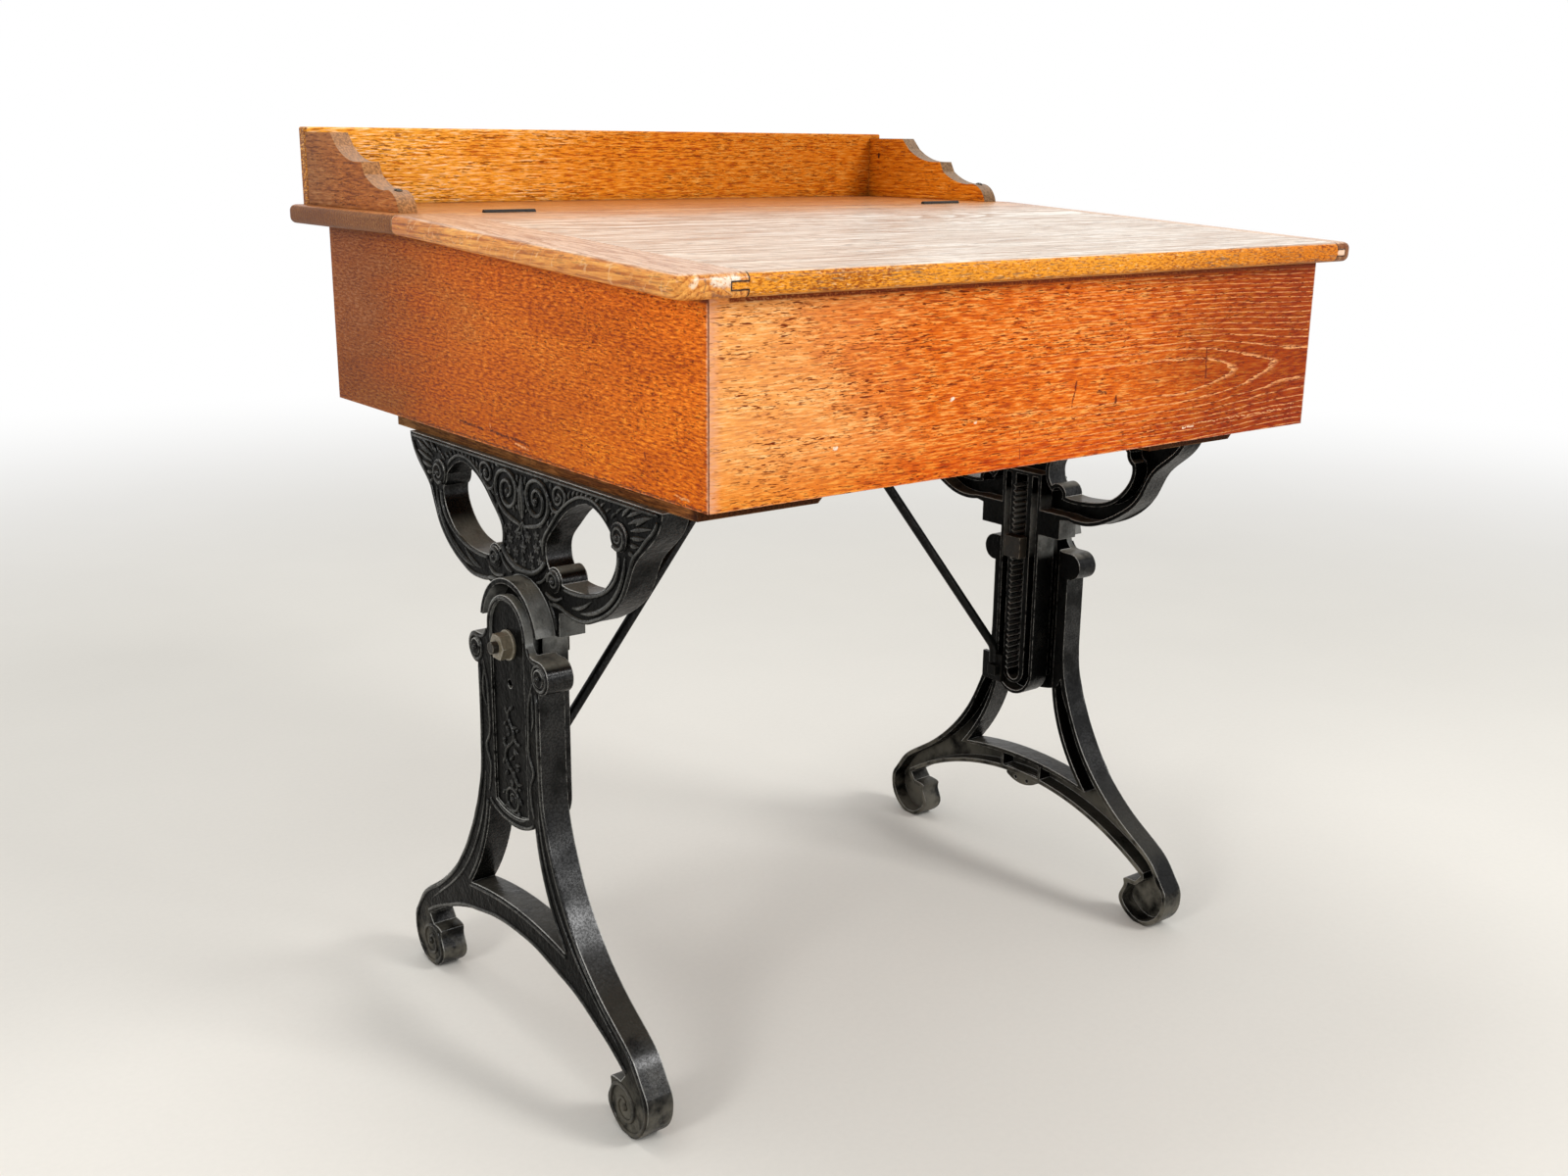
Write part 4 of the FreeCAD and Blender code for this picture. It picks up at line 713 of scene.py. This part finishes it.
def paintedArrisHighlight(tree, spec, patches, colour):
    # painted highlight: sharp edges that face upward are coloured bright, where light would glint on a
    # rounded arris
    rounded = addNode(tree, "Bevel", samples=6)
    rounded.inputs["Radius"].default_value = spec["arrisHighlightRadius"]
    flat = addNode(tree, "NewGeometry").outputs["Normal"]
    turned = minus(tree, 1.0, vectorMaths(tree, "DOT_PRODUCT", rounded.outputs[0], flat))
    bright = times(tree, between(tree, turned, 0.02, 0.12),
                   between(tree, split(tree, rounded.outputs[0])[2], 0.10, 0.38),
                   between(tree, patches, 0.30, 0.55, 0.35, 0.95))
    return mixColour(tree, bright, colour, spec["arrisHighlight"])


def hoodGlare(tree, hood, place, facing, patches, colour):
    # the front of the hood over the leg catches the light
    aside = unsigned(tree, plus(tree, place[1], -stand["middleY"]))
    glare = times(tree, between(tree, place[2], *hood["foot"]), between(tree, place[2], *hood["top"]),
                  between(tree, aside, *hood["halfWidth"]), between(tree, facing[1], -0.45, -0.80),
                  between(tree, patches, 0.34, 0.60, 0.30, 0.85))
    return mixColour(tree, glare, colour, hood["colour"])


def makeMetal(name, spec):
    spec = {**anyMetal, **spec}
    material, tree, shader, coordinates = startMaterial(name)
    shader.inputs["Specular IOR Level"].default_value = spec["shine"]
    skin = useGroup(tree, castSkin, Vector=coordinates)
    patches = skin["patches"]
    place = split(tree, coordinates)
    facing = ownNormal(tree)
    sideways = unsigned(tree, facing[0])
    upward = times(tree, between(tree, facing[2], 0.60, 0.95), between(tree, patches, 0.24, 0.50))
    dusty = times(tree, upward, spec["upWear"], between(tree, place[2], 0.22, 0.36, 0.22, 1.0))
    colour = spec["base"]
    if "crest" in spec:
        # the tops of the ridges are rubbed grey
        ridges = times(tree, between(tree, sideways, 0.70, 0.985),
                       between(tree, patches, 0.36, 0.60, 0.35, 1.0))
        colour = mixColour(tree, ridges, colour, spec["crest"])
    colour = mixColour(tree, dusty, colour, spec["brown"])
    rusty = times(tree, between(tree, patches, 0.52, 0.70), spec["rust"])
    colour = mixColour(tree, rusty, colour, spec["brown"])
    worn = useGroup(tree, edgeWear, Vector=coordinates, radius=spec["wearRadius"],
                    patchSize=spec["wearPatch"])["mask"]
    # worn paint on the edges shows lighter; on the cast iron its pale grey is also a painted highlight along
    # the edges
    colour = mixColour(tree, times(tree, worn, spec["edgeWear"]), colour, spec["edge"])
    # painted highlight along the sharp upward edges
    if "arrisHighlight" in spec:
        colour = paintedArrisHighlight(tree, spec, patches, colour)
    if "hood" in spec:
        colour = hoodGlare(tree, spec["hood"], place, facing, patches, colour)
    speckle = timesPlus(tree, skin["grit"], 0.9, 0.55)
    colour = tint(tree, colour, join(tree, speckle, speckle, speckle))
    # dust from the floor settles on the feet and in the hollow back of the arch
    low = times(tree, between(tree, place[2], 0.085, 0.0), between(tree, patches, 0.38, 0.60),
                spec["footDust"])
    hollow = times(tree, between(tree, unsigned(tree, place[0]), 0.3455, 0.3430),
                   between(tree, place[2], 0.160, 0.080), between(tree, sideways, 0.3, 0.8),
                   between(tree, patches, 0.30, 0.60), spec["recessDust"])
    low = larger(tree, low, hollow)
    colour = mixColour(tree, low, colour, spec["brown"])
    # dirt and painted shade: crevices darken the base colour and roughen the paint
    closed = useGroup(tree, grimeAndShade, Vector=coordinates, distance=spec["crevice"])["mask"]
    link(tree, shader.inputs["Base Color"], mixColour(tree, closed, colour, rgba(spec["base"], 0.4)))
    rough = timesPlus(tree, patches, 0.20, spec["roughness"] - 0.10)
    rough = timesPlus(tree, larger(tree, larger(tree, dusty, rusty), low), 0.25, rough)
    link(tree, shader.inputs["Roughness"], timesPlus(tree, closed, 0.35, rough))
    if spec["polish"]:
        # the paint still shines on the fronts, the rims and the raised work
        front = times(tree, between(tree, facing[1], -0.40, -0.85),
                      between(tree, patches, 0.34, 0.58, 0.30, 1.0))
        shiny = larger(tree, front, larger(tree, worn, between(tree, facing[2], 0.10, 0.45, 0.0, 0.6)))
        if "crest" in spec:
            shiny = larger(tree, shiny, ridges)
        shiny = times(tree, shiny, minus(tree, 1.0, larger(tree, closed, low)))
        sand = noise(tree, coordinates, 520, 2.0, 0.6)
        shiny = times(tree, shiny, between(tree, sand, 0.38, 0.62, spec["sand"], 1.0))
        link(tree, shader.inputs["Coat Weight"], times(tree, shiny, spec["polish"]))
        shader.inputs["Coat Roughness"].default_value = spec["coatRoughness"]
    addBump(tree, shader, skin["height"], spec["bump"], spec["rounding"])
    return material


def makeFloor(spec):
    material, tree, shader, coordinates = startMaterial("paleFloor")
    cloud = noise(tree, coordinates, (1.6, 1.6, 1.6), 4.0, 0.6)
    speck = noise(tree, coordinates, 150, 2.0, 0.6)
    tone = timesPlus(tree, cloud, 0.10, timesPlus(tree, speck, 0.05, 0.925))
    colour = mixColour(tree, 1.0, spec["floorColour"], join(tree, tone, tone, tone), "MULTIPLY")
    link(tree, shader.inputs["Base Color"], colour)
    shader.inputs["Roughness"].default_value = 0.75
    # far from the desk the floor runs out into the white background
    far = between(tree, vectorMaths(tree, "LENGTH", coordinates), spec["fadeStart"], spec["fadeEnd"])
    shown = times(tree, far, whereSeen(tree))
    white = addNode(tree, "Emission").outputs[0]
    both = feed(tree, "MixShader", shown, shader.outputs[0], white)[0]
    link(tree, next(node for node in tree.nodes if node.type == "OUTPUT_MATERIAL").inputs["Surface"], both)
    bm = bmesh.new()
    bmesh.ops.create_grid(bm, x_segments=2, y_segments=2, size=spec["floorSize"])
    floor = finishPiece(bm, "studioFloor", material)


finishes = {label: makeOak(label, values) for label, values in oakBoards.items()}
finishes.update((label, makeMetal(label, values)) for label, values in metals.items())
print("materials ready")

dressing = {
    "front_board": "frontOak", "side_board_left": "sideOak", "side_board_right": "sideOak",
    "back_board": "backOak", "bottom_board": "bottomOak", "top_rail": "railOak", "lid_panel": "lidOak",
    "lid_clamp_left": "leftClampOak", "lid_clamp_right": "rightClampOak", "gallery_back": "galleryOak",
    "gallery_bracket_left": "leftGalleryEndOak", "gallery_bracket_right": "rightGalleryEndOak",
    "batten_left": "battenOak", "batten_right": "battenOak",
}
# iron and steel nodes go by the start of their names
ironwork = {"hinge": "hingeSteel", "clamp_bolt": "boltSteel", "clamp": "rustySteel", "brace": "braceIron",
            "": "castIron"}
for nodeName, node in nodes.items():
    label = dressing.get(nodeName) or next(kind for start, kind in ironwork.items()
                                           if nodeName.startswith(start))
    for holder in node.material_slots:
        holder.material = finishes[label]


# Making pieces

def finishPiece(bm, name, material, smooth=False):
    mesh = bpy.data.meshes.new(name)
    bm.to_mesh(mesh)
    bm.free()
    if smooth:
        mesh.polygons.foreach_set("use_smooth", [True] * len(mesh.polygons))
    mesh.materials.append(material)
    piece = bpy.data.objects.new(name, mesh)
    bpy.context.scene.collection.objects.link(piece)
    return piece


mm = 0.001


def standPlace(side, depth):
    # turns drawing coordinates (along u, up z, out of the face) into the desk's own
    return Matrix(((0, 0, side, side * (stand["sideX"] - depth * mm)), (1, 0, 0, stand["middleY"]),
                   (0, 1, 0, 0), (0, 0, 0, 1)))


def vertsOf(geometry):
    return [item for item in geometry if isinstance(item, bmesh.types.BMVert)]


def drawStrands(bm, strands, flatten, lift=0.0):
    # each strand is a line of (u, z, thickness share) points and a radius, in millimetres, and lift raises it
    curve = bpy.data.curves.new("strandDrawing", "CURVE")
    curve.dimensions = "3D"
    curve.bevel_depth = mm
    curve.bevel_resolution = 2
    curve.resolution_u = 5
    curve.use_fill_caps = True
    for points, radius in strands:
        spline = curve.splines.new("BEZIER")
        spline.bezier_points.add(len(points) - 1)
        for knot, point in zip(spline.bezier_points, points):
            knot.co = (point[0] * mm, point[1] * mm, 0)
            knot.radius = radius * (point[2] if len(point) > 2 else 1.0)
        for knot in spline.bezier_points:
            knot.handle_left_type = knot.handle_right_type = "AUTO"
    drawing = bpy.data.objects.new("strandDrawing", curve)
    mesh = bpy.data.meshes.new_from_object(drawing)
    before = set(bm.verts)
    bm.from_mesh(mesh)
    added = [vert for vert in bm.verts if vert not in before]
    bmesh.ops.scale(bm, vec=(1, 1, flatten), verts=added)
    bmesh.ops.translate(bm, vec=(0, 0, lift * mm), verts=added)
    bpy.data.objects.remove(drawing)
    bpy.data.curves.remove(curve)
    bpy.data.meshes.remove(mesh)


def drawBead(bm, u, z, radius, flatten=0.6, stretch=1.0, turn=0.0):
    place = (Matrix.Translation((u * mm, z * mm, 0)) @ Matrix.Rotation(turn, 4, "Z")
             @ Matrix.Diagonal((stretch, 1.0, flatten, 1.0)))
    bmesh.ops.create_icosphere(bm, subdivisions=2, radius=radius * mm, matrix=place)


def drawButton(bm, u, z, radius, height):
    # a low round boss with a soft edge, sunk into the face behind it
    place = Matrix.Translation((u * mm, z * mm, 0))
    made = bmesh.ops.create_circle(bm, cap_ends=True, segments=36, radius=radius * mm, matrix=place)
    face = [f for f in bm.faces if all(v in made["verts"] for v in f.verts)]
    raised = bmesh.ops.extrude_face_region(bm, geom=face)["geom"]
    bmesh.ops.translate(bm, vec=(0, 0, height * 0.65 * mm), verts=vertsOf(raised))
    face = [item for item in raised if isinstance(item, bmesh.types.BMFace)]
    for inset, rise in ((0.07, 0.25), (0.12, 0.10)):
        bmesh.ops.inset_region(bm, faces=face, thickness=radius * inset * mm, depth=0)
        bmesh.ops.translate(bm, vec=(0, 0, height * rise * mm), verts=list(face[0].verts))


def drawFlower(bm, u, z, size):
    drawBead(bm, u, z, size * 0.34, 0.9)
    for step in range(5):
        turn = step * math.tau / 5 + 0.3
        drawBead(bm, u + math.cos(turn) * size * 0.60, z + math.sin(turn) * size * 0.60, size * 0.34, 0.6,
                 1.35, turn)


def leaf(u, z, length, angle, bend=0.25):
    # a tapering strand that starts at u, z and leans over to one side
    turn = math.radians(angle)
    along, across = (math.cos(turn), math.sin(turn)), (-math.sin(turn), math.cos(turn))
    line = []
    for share, off, thick in ((0, 0, 0.35), (0.35, 0.55, 1.0), (0.7, 0.8, 0.8), (1, 0.5, 0.12)):
        off *= bend * length * 0.5
        line.append((u + along[0] * length * share + across[0] * off,
                     z + along[1] * length * share + across[1] * off, thick))
    return line


def spiral(u, z, outer, inner, turns, start, hand=1, thinning=0.45):
    count = max(6, int(turns * 8))
    line = []
    for step in range(count + 1):
        share = step / count
        turn = math.radians(start) + hand * share * turns * math.tau
        reach = outer + (inner - outer) * share
        line.append((u + math.cos(turn) * reach, z + math.sin(turn) * reach, 1 - share * (1 - thinning)))
    return line


def mirrored(line):
    return [(-point[0],) + tuple(point[1:]) for point in line]


def strandsOf(work, leaves=(), radius=1.0):
    # the strands of one dictionary, and leaves of one thickness
    return list(work.values()) + [(leaf(*values), radius) for values in leaves]


def bothWays(strands):
    return strands + [(mirrored(points), radius) for points, radius in strands]


def placeRelief(bm, name, body, side, depth, finish="castRelief"):
    bmesh.ops.transform(bm, matrix=standPlace(side, depth), verts=bm.verts)
    bmesh.ops.remove_doubles(bm, verts=bm.verts, dist=0.00001)
    bmesh.ops.recalc_face_normals(bm, faces=bm.faces)
    piece = finishPiece(bm, name, finishes[finish], smooth=finish == "castRelief")
    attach(piece, body)


# Cast relief of the upper brackets, drawn for the back half and mirrored to the front half

scrollWork = {
    "bigScroll": ([(3, 505, 0.7), (17, 507.5), (31, 511.5), (42, 519.5), (47.5, 531), (45, 543), (34, 550),
                   (21, 549.5), (11.5, 542), (10, 530.5), (17.5, 520.5), (28, 519, 0.95), (36.5, 525.5, 0.9),
                   (37.5, 535, 0.9), (30.5, 541.5, 0.85), (22, 539.5, 0.8), (20, 532, 0.8),
                   (25.5, 527.5, 0.9)], 2.5),
    "smallScroll": ([(50.5, 536, 0.7), (54, 530.5), (61, 528.8), (69, 532.5), (75.5, 539.5), (76, 547),
                     (69, 551.5), (60.5, 549.5), (57, 542.5, 0.95), (61, 536.5, 0.9), (67.5, 537.5, 0.85),
                     (69.5, 543, 0.85), (65, 545.5, 0.9)], 2.0),
    "middleLeaf": ([(0.5, 511, 0.4), (2.5, 522, 1.1), (1.6, 536, 1.2), (0.4, 551, 0.3)], 2.6),
    "middleStem": ([(0, 509, 0.8), (5, 502.5, 0.9), (12, 497.5, 0.5)], 1.9),
    "flangeBead": ([(0, 555), (60, 555), (120, 555), (170, 555), (219, 555)], 1.7),
}
fernLeaves = [(82, 543.5, 9, 66), (89, 546.5, 8, 58), (96, 549, 6, 50), (103, 549.5, 6, 46),
              (110, 549.8, 6, 42), (118, 549.6, 6, 40), (126, 548.8, 7, 38), (134, 546.5, 8, 34),
              (142, 543.5, 9, 30), (52, 547, 7, 80), (46, 512.5, 7, 80), (7, 543, 9, 78), (14, 515, 6, 62),
              (40, 552, 8, 2), (51, 524, 8, 30), (6.5, 518, 7, 40), (36, 513, 7, 210), (5, 533, 7, 65),
              (150, 540, 10, 35), (158, 545.5, 11, 30)]
flowerWork = [(9, 496, 6.0), (24, 489, 5.6), (0, 485, 6.0), (14, 478.5, 5.4), (0, 471.5, 5.0), (33, 496, 4.4),
              (24, 500.5, 4.6), (29, 478, 4.6), (16, 468.8, 4.0)]
collarWork = {
    "collar": ([(0, 463.6), (10, 464), (19, 466), (28, 470), (35, 475), (39.8, 480.5, 0.9)], 3.2),
    "collarLower": ([(22, 457.5, 0.7), (31, 460.2), (38.5, 465.5), (43, 472, 0.8)], 1.9),
    "underCurl": ([(38, 452, 0.7), (47, 449.5), (57, 449.5), (67, 454, 0.6)], 2.0),
    "tailLeaf": ([(45, 443, 0.5), (53, 444.5, 1.2), (64, 444, 1.1), (76, 441, 0.3)], 2.0),
    "hoodLeaf": ([(54.5, 421, 0.4), (54, 430, 1.1), (49.5, 439, 1.0), (43, 446, 0.4)], 2.0),
}
loopWork = {
    "innerRidge": ([(35.4, 485, 0.6), (35.6, 493), (38.6, 502), (46.3, 511), (56, 521), (63, 528), (72, 535),
                    (80, 540.2), (89, 544.8), (98, 548.4), (109, 550), (120, 549.8), (130, 546.6),
                    (138.5, 541.6), (144, 536.5, 0.8)], 2.0),
    "armRidge": ([(69, 461.8, 0.7), (85, 461.9), (104, 463.8), (120, 467.6), (134, 473), (145.5, 480),
                  (154.5, 489), (159.7, 500), (160.6, 510, 0.8)], 2.2),
    "outerRidge": ([(64, 443, 0.6), (74, 441.6), (86, 440.2), (104, 441.2), (119, 446.2), (138, 455),
                    (156.5, 468.6), (166.5, 480.5), (172, 491), (177.6, 503), (182.4, 512.8), (192.5, 522.2),
                    (202.5, 532), (213.4, 541.4), (218.3, 549, 0.8)], 2.2),
    "armVein": ([(96, 447, 0.3), (112, 450, 1.0), (130, 457, 1.1), (147, 468, 1.1), (160, 482, 1.0),
                 (167.5, 497, 0.9), (170, 512, 0.4)], 2.6),
    "leafTail": ([(82, 448.5, 0.3), (94, 450.5, 1.1), (106, 455.5, 1.0), (116, 462, 0.3)], 2.2),
}
volutes = {"collar": {"place": (54, 466), "size": 10.2, "rise": 2.0, "turns": 1.5, "start": 195, "hand": -1},
           "loops": {"place": (162, 527), "size": 12.4, "rise": 2.4, "turns": 1.6, "start": 230, "hand": 1}}


def drawVolute(bm, spec):
    u, z = spec["place"]
    line = spiral(u, z, spec["size"] - 1.6, 2.2, spec["turns"], spec["start"], spec["hand"])
    for way in (1, -1):
        drawStrands(bm, [(line if way > 0 else mirrored(line), 2.3)], 0.95, spec["rise"] * 0.8)
        drawBead(bm, way * u, z, 3.6, 1.6)


fanLeaves = [(175, 540, 38, 17, 0.1), (178, 535, 33, 12, 0.05), (178, 529.5, 23, 10, -0.1),
             (177.5, 524, 13, 4, -0.2), (174, 546, 27, 16, 0.15), (167, 545, 17, 32, 0.2),
             (175.5, 517.5, 8, -10, -0.2), (187, 541, 22, 22, 0.2)]


def carveBracket(name, side):
    body = "desk_top"
    bm = bmesh.new()
    drawStrands(bm, bothWays(strandsOf(scrollWork, fernLeaves, 1.8)), 0.95)
    for u, z in ((26, 532.5), (64.5, 541.5)):
        for way in (1, -1):
            drawBead(bm, way * u, z, 3.0, 1.0)
    placeRelief(bm, "bracket_scrolls_" + name, body, side, stand["bracketFace"])

    bm = bmesh.new()
    for u, z, size in flowerWork:
        drawFlower(bm, u, z, size)
        if u > 1:
            drawFlower(bm, -u, z, size)
    drawStrands(bm, [([(0, 508, 0.6), (2, 499), (-1.5, 490), (1.5, 478), (0, 466, 0.4)], 1.5)], 0.8)
    placeRelief(bm, "bracket_flowers_" + name, body, side, stand["bracketFace"])

    bm = bmesh.new()
    drawStrands(bm, bothWays(strandsOf(collarWork)), 0.95)
    drawVolute(bm, volutes["collar"])
    placeRelief(bm, "bracket_collar_" + name, body, side, stand["bracketFace"])

    bm = bmesh.new()
    drawStrands(bm, bothWays(strandsOf(loopWork, fanLeaves, 2.6)), 0.9)
    drawVolute(bm, volutes["loops"])
    placeRelief(bm, "bracket_loops_" + name, body, side, stand["bracketFace"])

    bm = bmesh.new()
    for spec in volutes.values():
        for way in (1, -1):
            drawButton(bm, way * spec["place"][0], spec["place"][1], spec["size"], spec["rise"])
    placeRelief(bm, "bracket_bosses_" + name, body, side, stand["bracketFace"], finish="castIron")


# Cast relief of the lower legs

legWork = {
    "outerRim": ([(53.4, 366), (53.4, 310), (54.4, 290), (55.3, 270), (58, 253), (62.3, 238.5), (66, 227),
                  (72, 213), (77.3, 201), (87.2, 182.7), (97.3, 166), (107.4, 152.3), (119, 137.6),
                  (137.5, 120.4), (157.5, 104.6), (169, 96.8), (179, 91), (188, 85.3), (197, 78), (203.5, 71),
                  (210.2, 62.6), (216, 54.2), (219.9, 46), (222, 37), (220.5, 26), (215.6, 15.5),
                  (208.6, 8.2), (199.5, 4.2), (189, 3.6), (179.5, 6.2), (171.5, 12), (166.3, 20.5),
                  (167.4, 30), (170.6, 38.2), (177, 43.6), (187, 44.6), (197, 40.5), (203, 31.5), (202, 21.5),
                  (195, 14.4, 0.95), (185.5, 14.2, 0.9), (179, 20.4, 0.9), (179.4, 28.4, 0.85),
                  (185, 33.2, 0.8), (191, 30.6, 0.9)], 2.2),
    "archRim": ([(0, 117.4), (25, 116.8), (40, 115.4), (60, 111.4), (80, 107), (100, 102.8), (121, 95.8),
                 (134.5, 90), (147.5, 84.2), (160, 78.6), (172.5, 72.2), (185, 65), (192.5, 60.6, 0.8)], 2.0),
    "archTopRim": ([(0, 136.1), (30, 135.2), (60, 132.1), (80, 129.4), (93, 127.2, 0.8)], 1.8),
    "openingRim": ([(47, 233.5), (49.3, 220.8), (53.2, 206.5), (58, 193.7), (63, 181.6), (69, 169.6),
                    (75.4, 158.4), (82.8, 148), (87.4, 141.8), (94, 133.6, 0.8)], 1.9),
    "limbVein": ([(50, 262, 0.3), (52.5, 240, 0.8), (59, 215, 1.0), (70, 190, 1.0), (85, 165, 1.0),
                  (104, 141, 1.0), (130, 117, 1.0), (158, 96, 0.9), (182, 78, 0.4)], 1.7),
}
panelWork = {
    "railLeaf": ([(46, 374, 0.4), (42, 362), (38.5, 350), (37.6, 329), (37.6, 303), (44.5, 289, 1.2),
                  (38, 274, 0.9), (39, 258), (43, 244, 0.6)], 1.7),
    "shoulderLeaf": ([(44, 366, 0.3), (46.5, 352, 1.2), (46.5, 339, 1.0), (42, 328, 0.4)], 1.8),
    "shoulderRib": ([(37.5, 404, 0.8), (40.5, 399), (47, 394.5), (56, 393.6, 0.6)], 1.5),
    "apronRib": ([(0, 226.4), (12, 227), (25, 229.4), (36, 233.4), (41, 237.5, 0.8)], 1.7),
    "apronInner": ([(0, 232), (10, 232.4), (20, 234.2), (28, 238, 0.5)], 1.2),
}
vineWork = {
    "stem": ([(1, 339, 0.5), (5, 329), (-1, 320), (-5, 311), (1, 303), (9, 296), (12, 287), (5, 279),
              (-4, 273), (-9, 266), (-6, 259, 0.6)], 1.9),
    "rosetteRing": (spiral(1, 248.5, 11.2, 11.2, 1.0, 90, 1, 1.0), 1.9),
    "rosetteCurl": (spiral(1, 248.5, 6.6, 2.0, 1.1, 200, -1), 1.5),
}
vineLeaves = [(5, 329, 10, 40), (-1, 320, 10, 165), (-5, 311, 10, 215), (1, 303, 10, 320), (9, 296, 10, 30),
              (12, 287, 9, 300), (5, 279, 10, 195), (-4, 273, 9, 240), (-9, 266, 9, 160), (-4, 300, 9, 200),
              (4, 286, 9, 130), (2, 335, 9, 130), (-12, 254, 9, 230), (14, 254, 9, -50), (-8, 240, 8, 215),
              (10, 240, 8, -35), (3, 313, 9, 30), (-6, 285, 9, 170), (1, 260, 8, 90)]
vineBeads = [(-8, 297, 2.8), (13, 304, 2.6), (-11, 281, 2.6), (10, 272, 2.8), (5, 311, 2.2), (1, 248.5, 3.4),
             (-12, 319, 2.2), (16, 281, 2.2), (11, 320, 2.4), (-14, 306, 2.2), (2, 266, 2.2), (-13, 262, 2.2)]


def carveLeg(name, side):
    body = "leg_" + name
    bm = bmesh.new()
    drawStrands(bm, bothWays(strandsOf(legWork)), 0.75)
    for way in (1, -1):
        drawBead(bm, way * 189.5, 26, 3.6, 1.0)
    placeRelief(bm, "leg_rims_" + name, body, side, stand["legFace"])

    bm = bmesh.new()
    arch = [(math.cos(math.radians(a)) * 33.4, 408 + math.sin(math.radians(a)) * 33.4)
            for a in range(0, 181, 15)]
    drawStrands(bm, bothWays(strandsOf(panelWork)) + [(arch, 1.7)], 0.8)
    placeRelief(bm, "panel_ribs_" + name, body, side, stand["legFace"])

    bm = bmesh.new()
    drawStrands(bm, strandsOf(vineWork, vineLeaves, 2.0), 1.0)
    for u, z, size in vineBeads:
        drawBead(bm, u, z, size, 0.9)
    placeRelief(bm, "panel_vine_" + name, body, side, stand["fieldFace"])

    bm = bmesh.new()
    rings = []
    for way in (1, -1):
        rings.append((spiral(way * 59, 382, 11.6, 11.6, 1.0, 0, 1, 1.0), 1.8))
        drawBead(bm, way * 59, 382, 3.0, 1.5)
    drawStrands(bm, rings, 0.8)
    placeRelief(bm, "lug_rings_" + name, body, side, stand["legFace"])


for label, side in sides.items():
    carveBracket(label, side)
    carveLeg(label, side)
print("cast relief placed")


# Slotted wood screws

screwSizes = {"gallery": {"radius": 0.0040, "dome": 0.0011, "slotWidth": 0.0010, "slotDepth": 0.0008},
              "batten": {"radius": 0.0048, "dome": 0.0010, "slotWidth": 0.0011, "slotDepth": 0.0008}}


def screwHead(bm, size, place, axis, turn):
    made = bmesh.new()
    bmesh.ops.create_circle(made, cap_ends=True, segments=20, radius=size["radius"])
    lifted = vertsOf(bmesh.ops.extrude_face_region(made, geom=list(made.faces))["geom"])
    bmesh.ops.translate(made, vec=(0, 0, 0.0004), verts=lifted)
    top = [face for face in made.faces if all(vert in lifted for vert in face.verts)]
    for width, lift in ((0.18, 0.45), (0.22, 0.35), (0.25, 0.20)):
        bmesh.ops.inset_region(made, faces=top, thickness=size["radius"] * width, depth=0)
        bmesh.ops.translate(made, vec=(0, 0, size["dome"] * lift), verts=list(top[0].verts))
    for way in (1, -1):
        bmesh.ops.bisect_plane(made, geom=list(made.verts) + list(made.edges) + list(made.faces),
                               plane_co=(0, way * size["slotWidth"] / 2, 0), plane_no=(0, 1, 0))
    cut = [face for face in made.faces if face.normal.z > 0.3
           and abs(face.calc_center_median().y) < size["slotWidth"] / 2]
    sunk = bmesh.ops.extrude_face_region(made, geom=cut)["geom"]
    bmesh.ops.translate(made, vec=(0, 0, -size["slotDepth"]), verts=vertsOf(sunk))
    stale = [face for face in cut if face.is_valid]
    if stale:
        bmesh.ops.delete(made, geom=stale, context="FACES_ONLY")
    turned = Vector(axis).to_track_quat("Z", "Y").to_matrix().to_4x4()
    bmesh.ops.transform(made, matrix=Matrix.Translation(place) @ turned @ Matrix.Rotation(turn, 4, "Z"),
                        verts=made.verts)
    bmesh.ops.recalc_face_normals(made, faces=made.faces)
    mesh = bpy.data.meshes.new("screwDrawing")
    made.to_mesh(mesh)
    made.free()
    bm.from_mesh(mesh)
    bpy.data.meshes.remove(mesh)


def surfaceUnder(nodeName, start, direction):
    found, place, normal, _ = nodes[nodeName].ray_cast(Vector(start), Vector(direction).normalized())
    return (place, normal) if found else (None, None)


def placeScrews(name, body, kind, spots):
    bm = bmesh.new()
    count = 0
    for nodeName, start, direction, turn in spots:
        place, normal = surfaceUnder(nodeName, start, direction)
        if place is not None:
            screwHead(bm, screwSizes[kind], place, normal, turn)
            count += 1
    if not count:
        bm.free()
        print("no place found for", name)
        return
    piece = finishPiece(bm, name, finishes["screwSteel"])
    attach(piece, body)


bpy.context.view_layer.update()
for label, side in sides.items():
    low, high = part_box("gallery_bracket_" + label)
    middle = (low.x + high.x) / 2
    placeScrews("gallery_screws_" + label, "desk_top", "gallery",
                [("gallery_bracket_" + label, (middle, low.y + 0.019, 1.0), (0, 0, -1), 0.5)])
    low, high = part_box("batten_" + label)
    middle = (low.x + high.x) / 2
    placeScrews("batten_screws_" + label, "desk_top", "batten",
                [("batten_" + label, (middle + dx, low.y + share * (high.y - low.y), 0.3), (0, 0, 1),
                  share * 9) for share in (0.05, 0.95) for dx in (-0.018, 0.022)])
print("screws placed")

makeFloor(studio)
lightStudio(studio)
setCamera(view)

print("camera and light set")
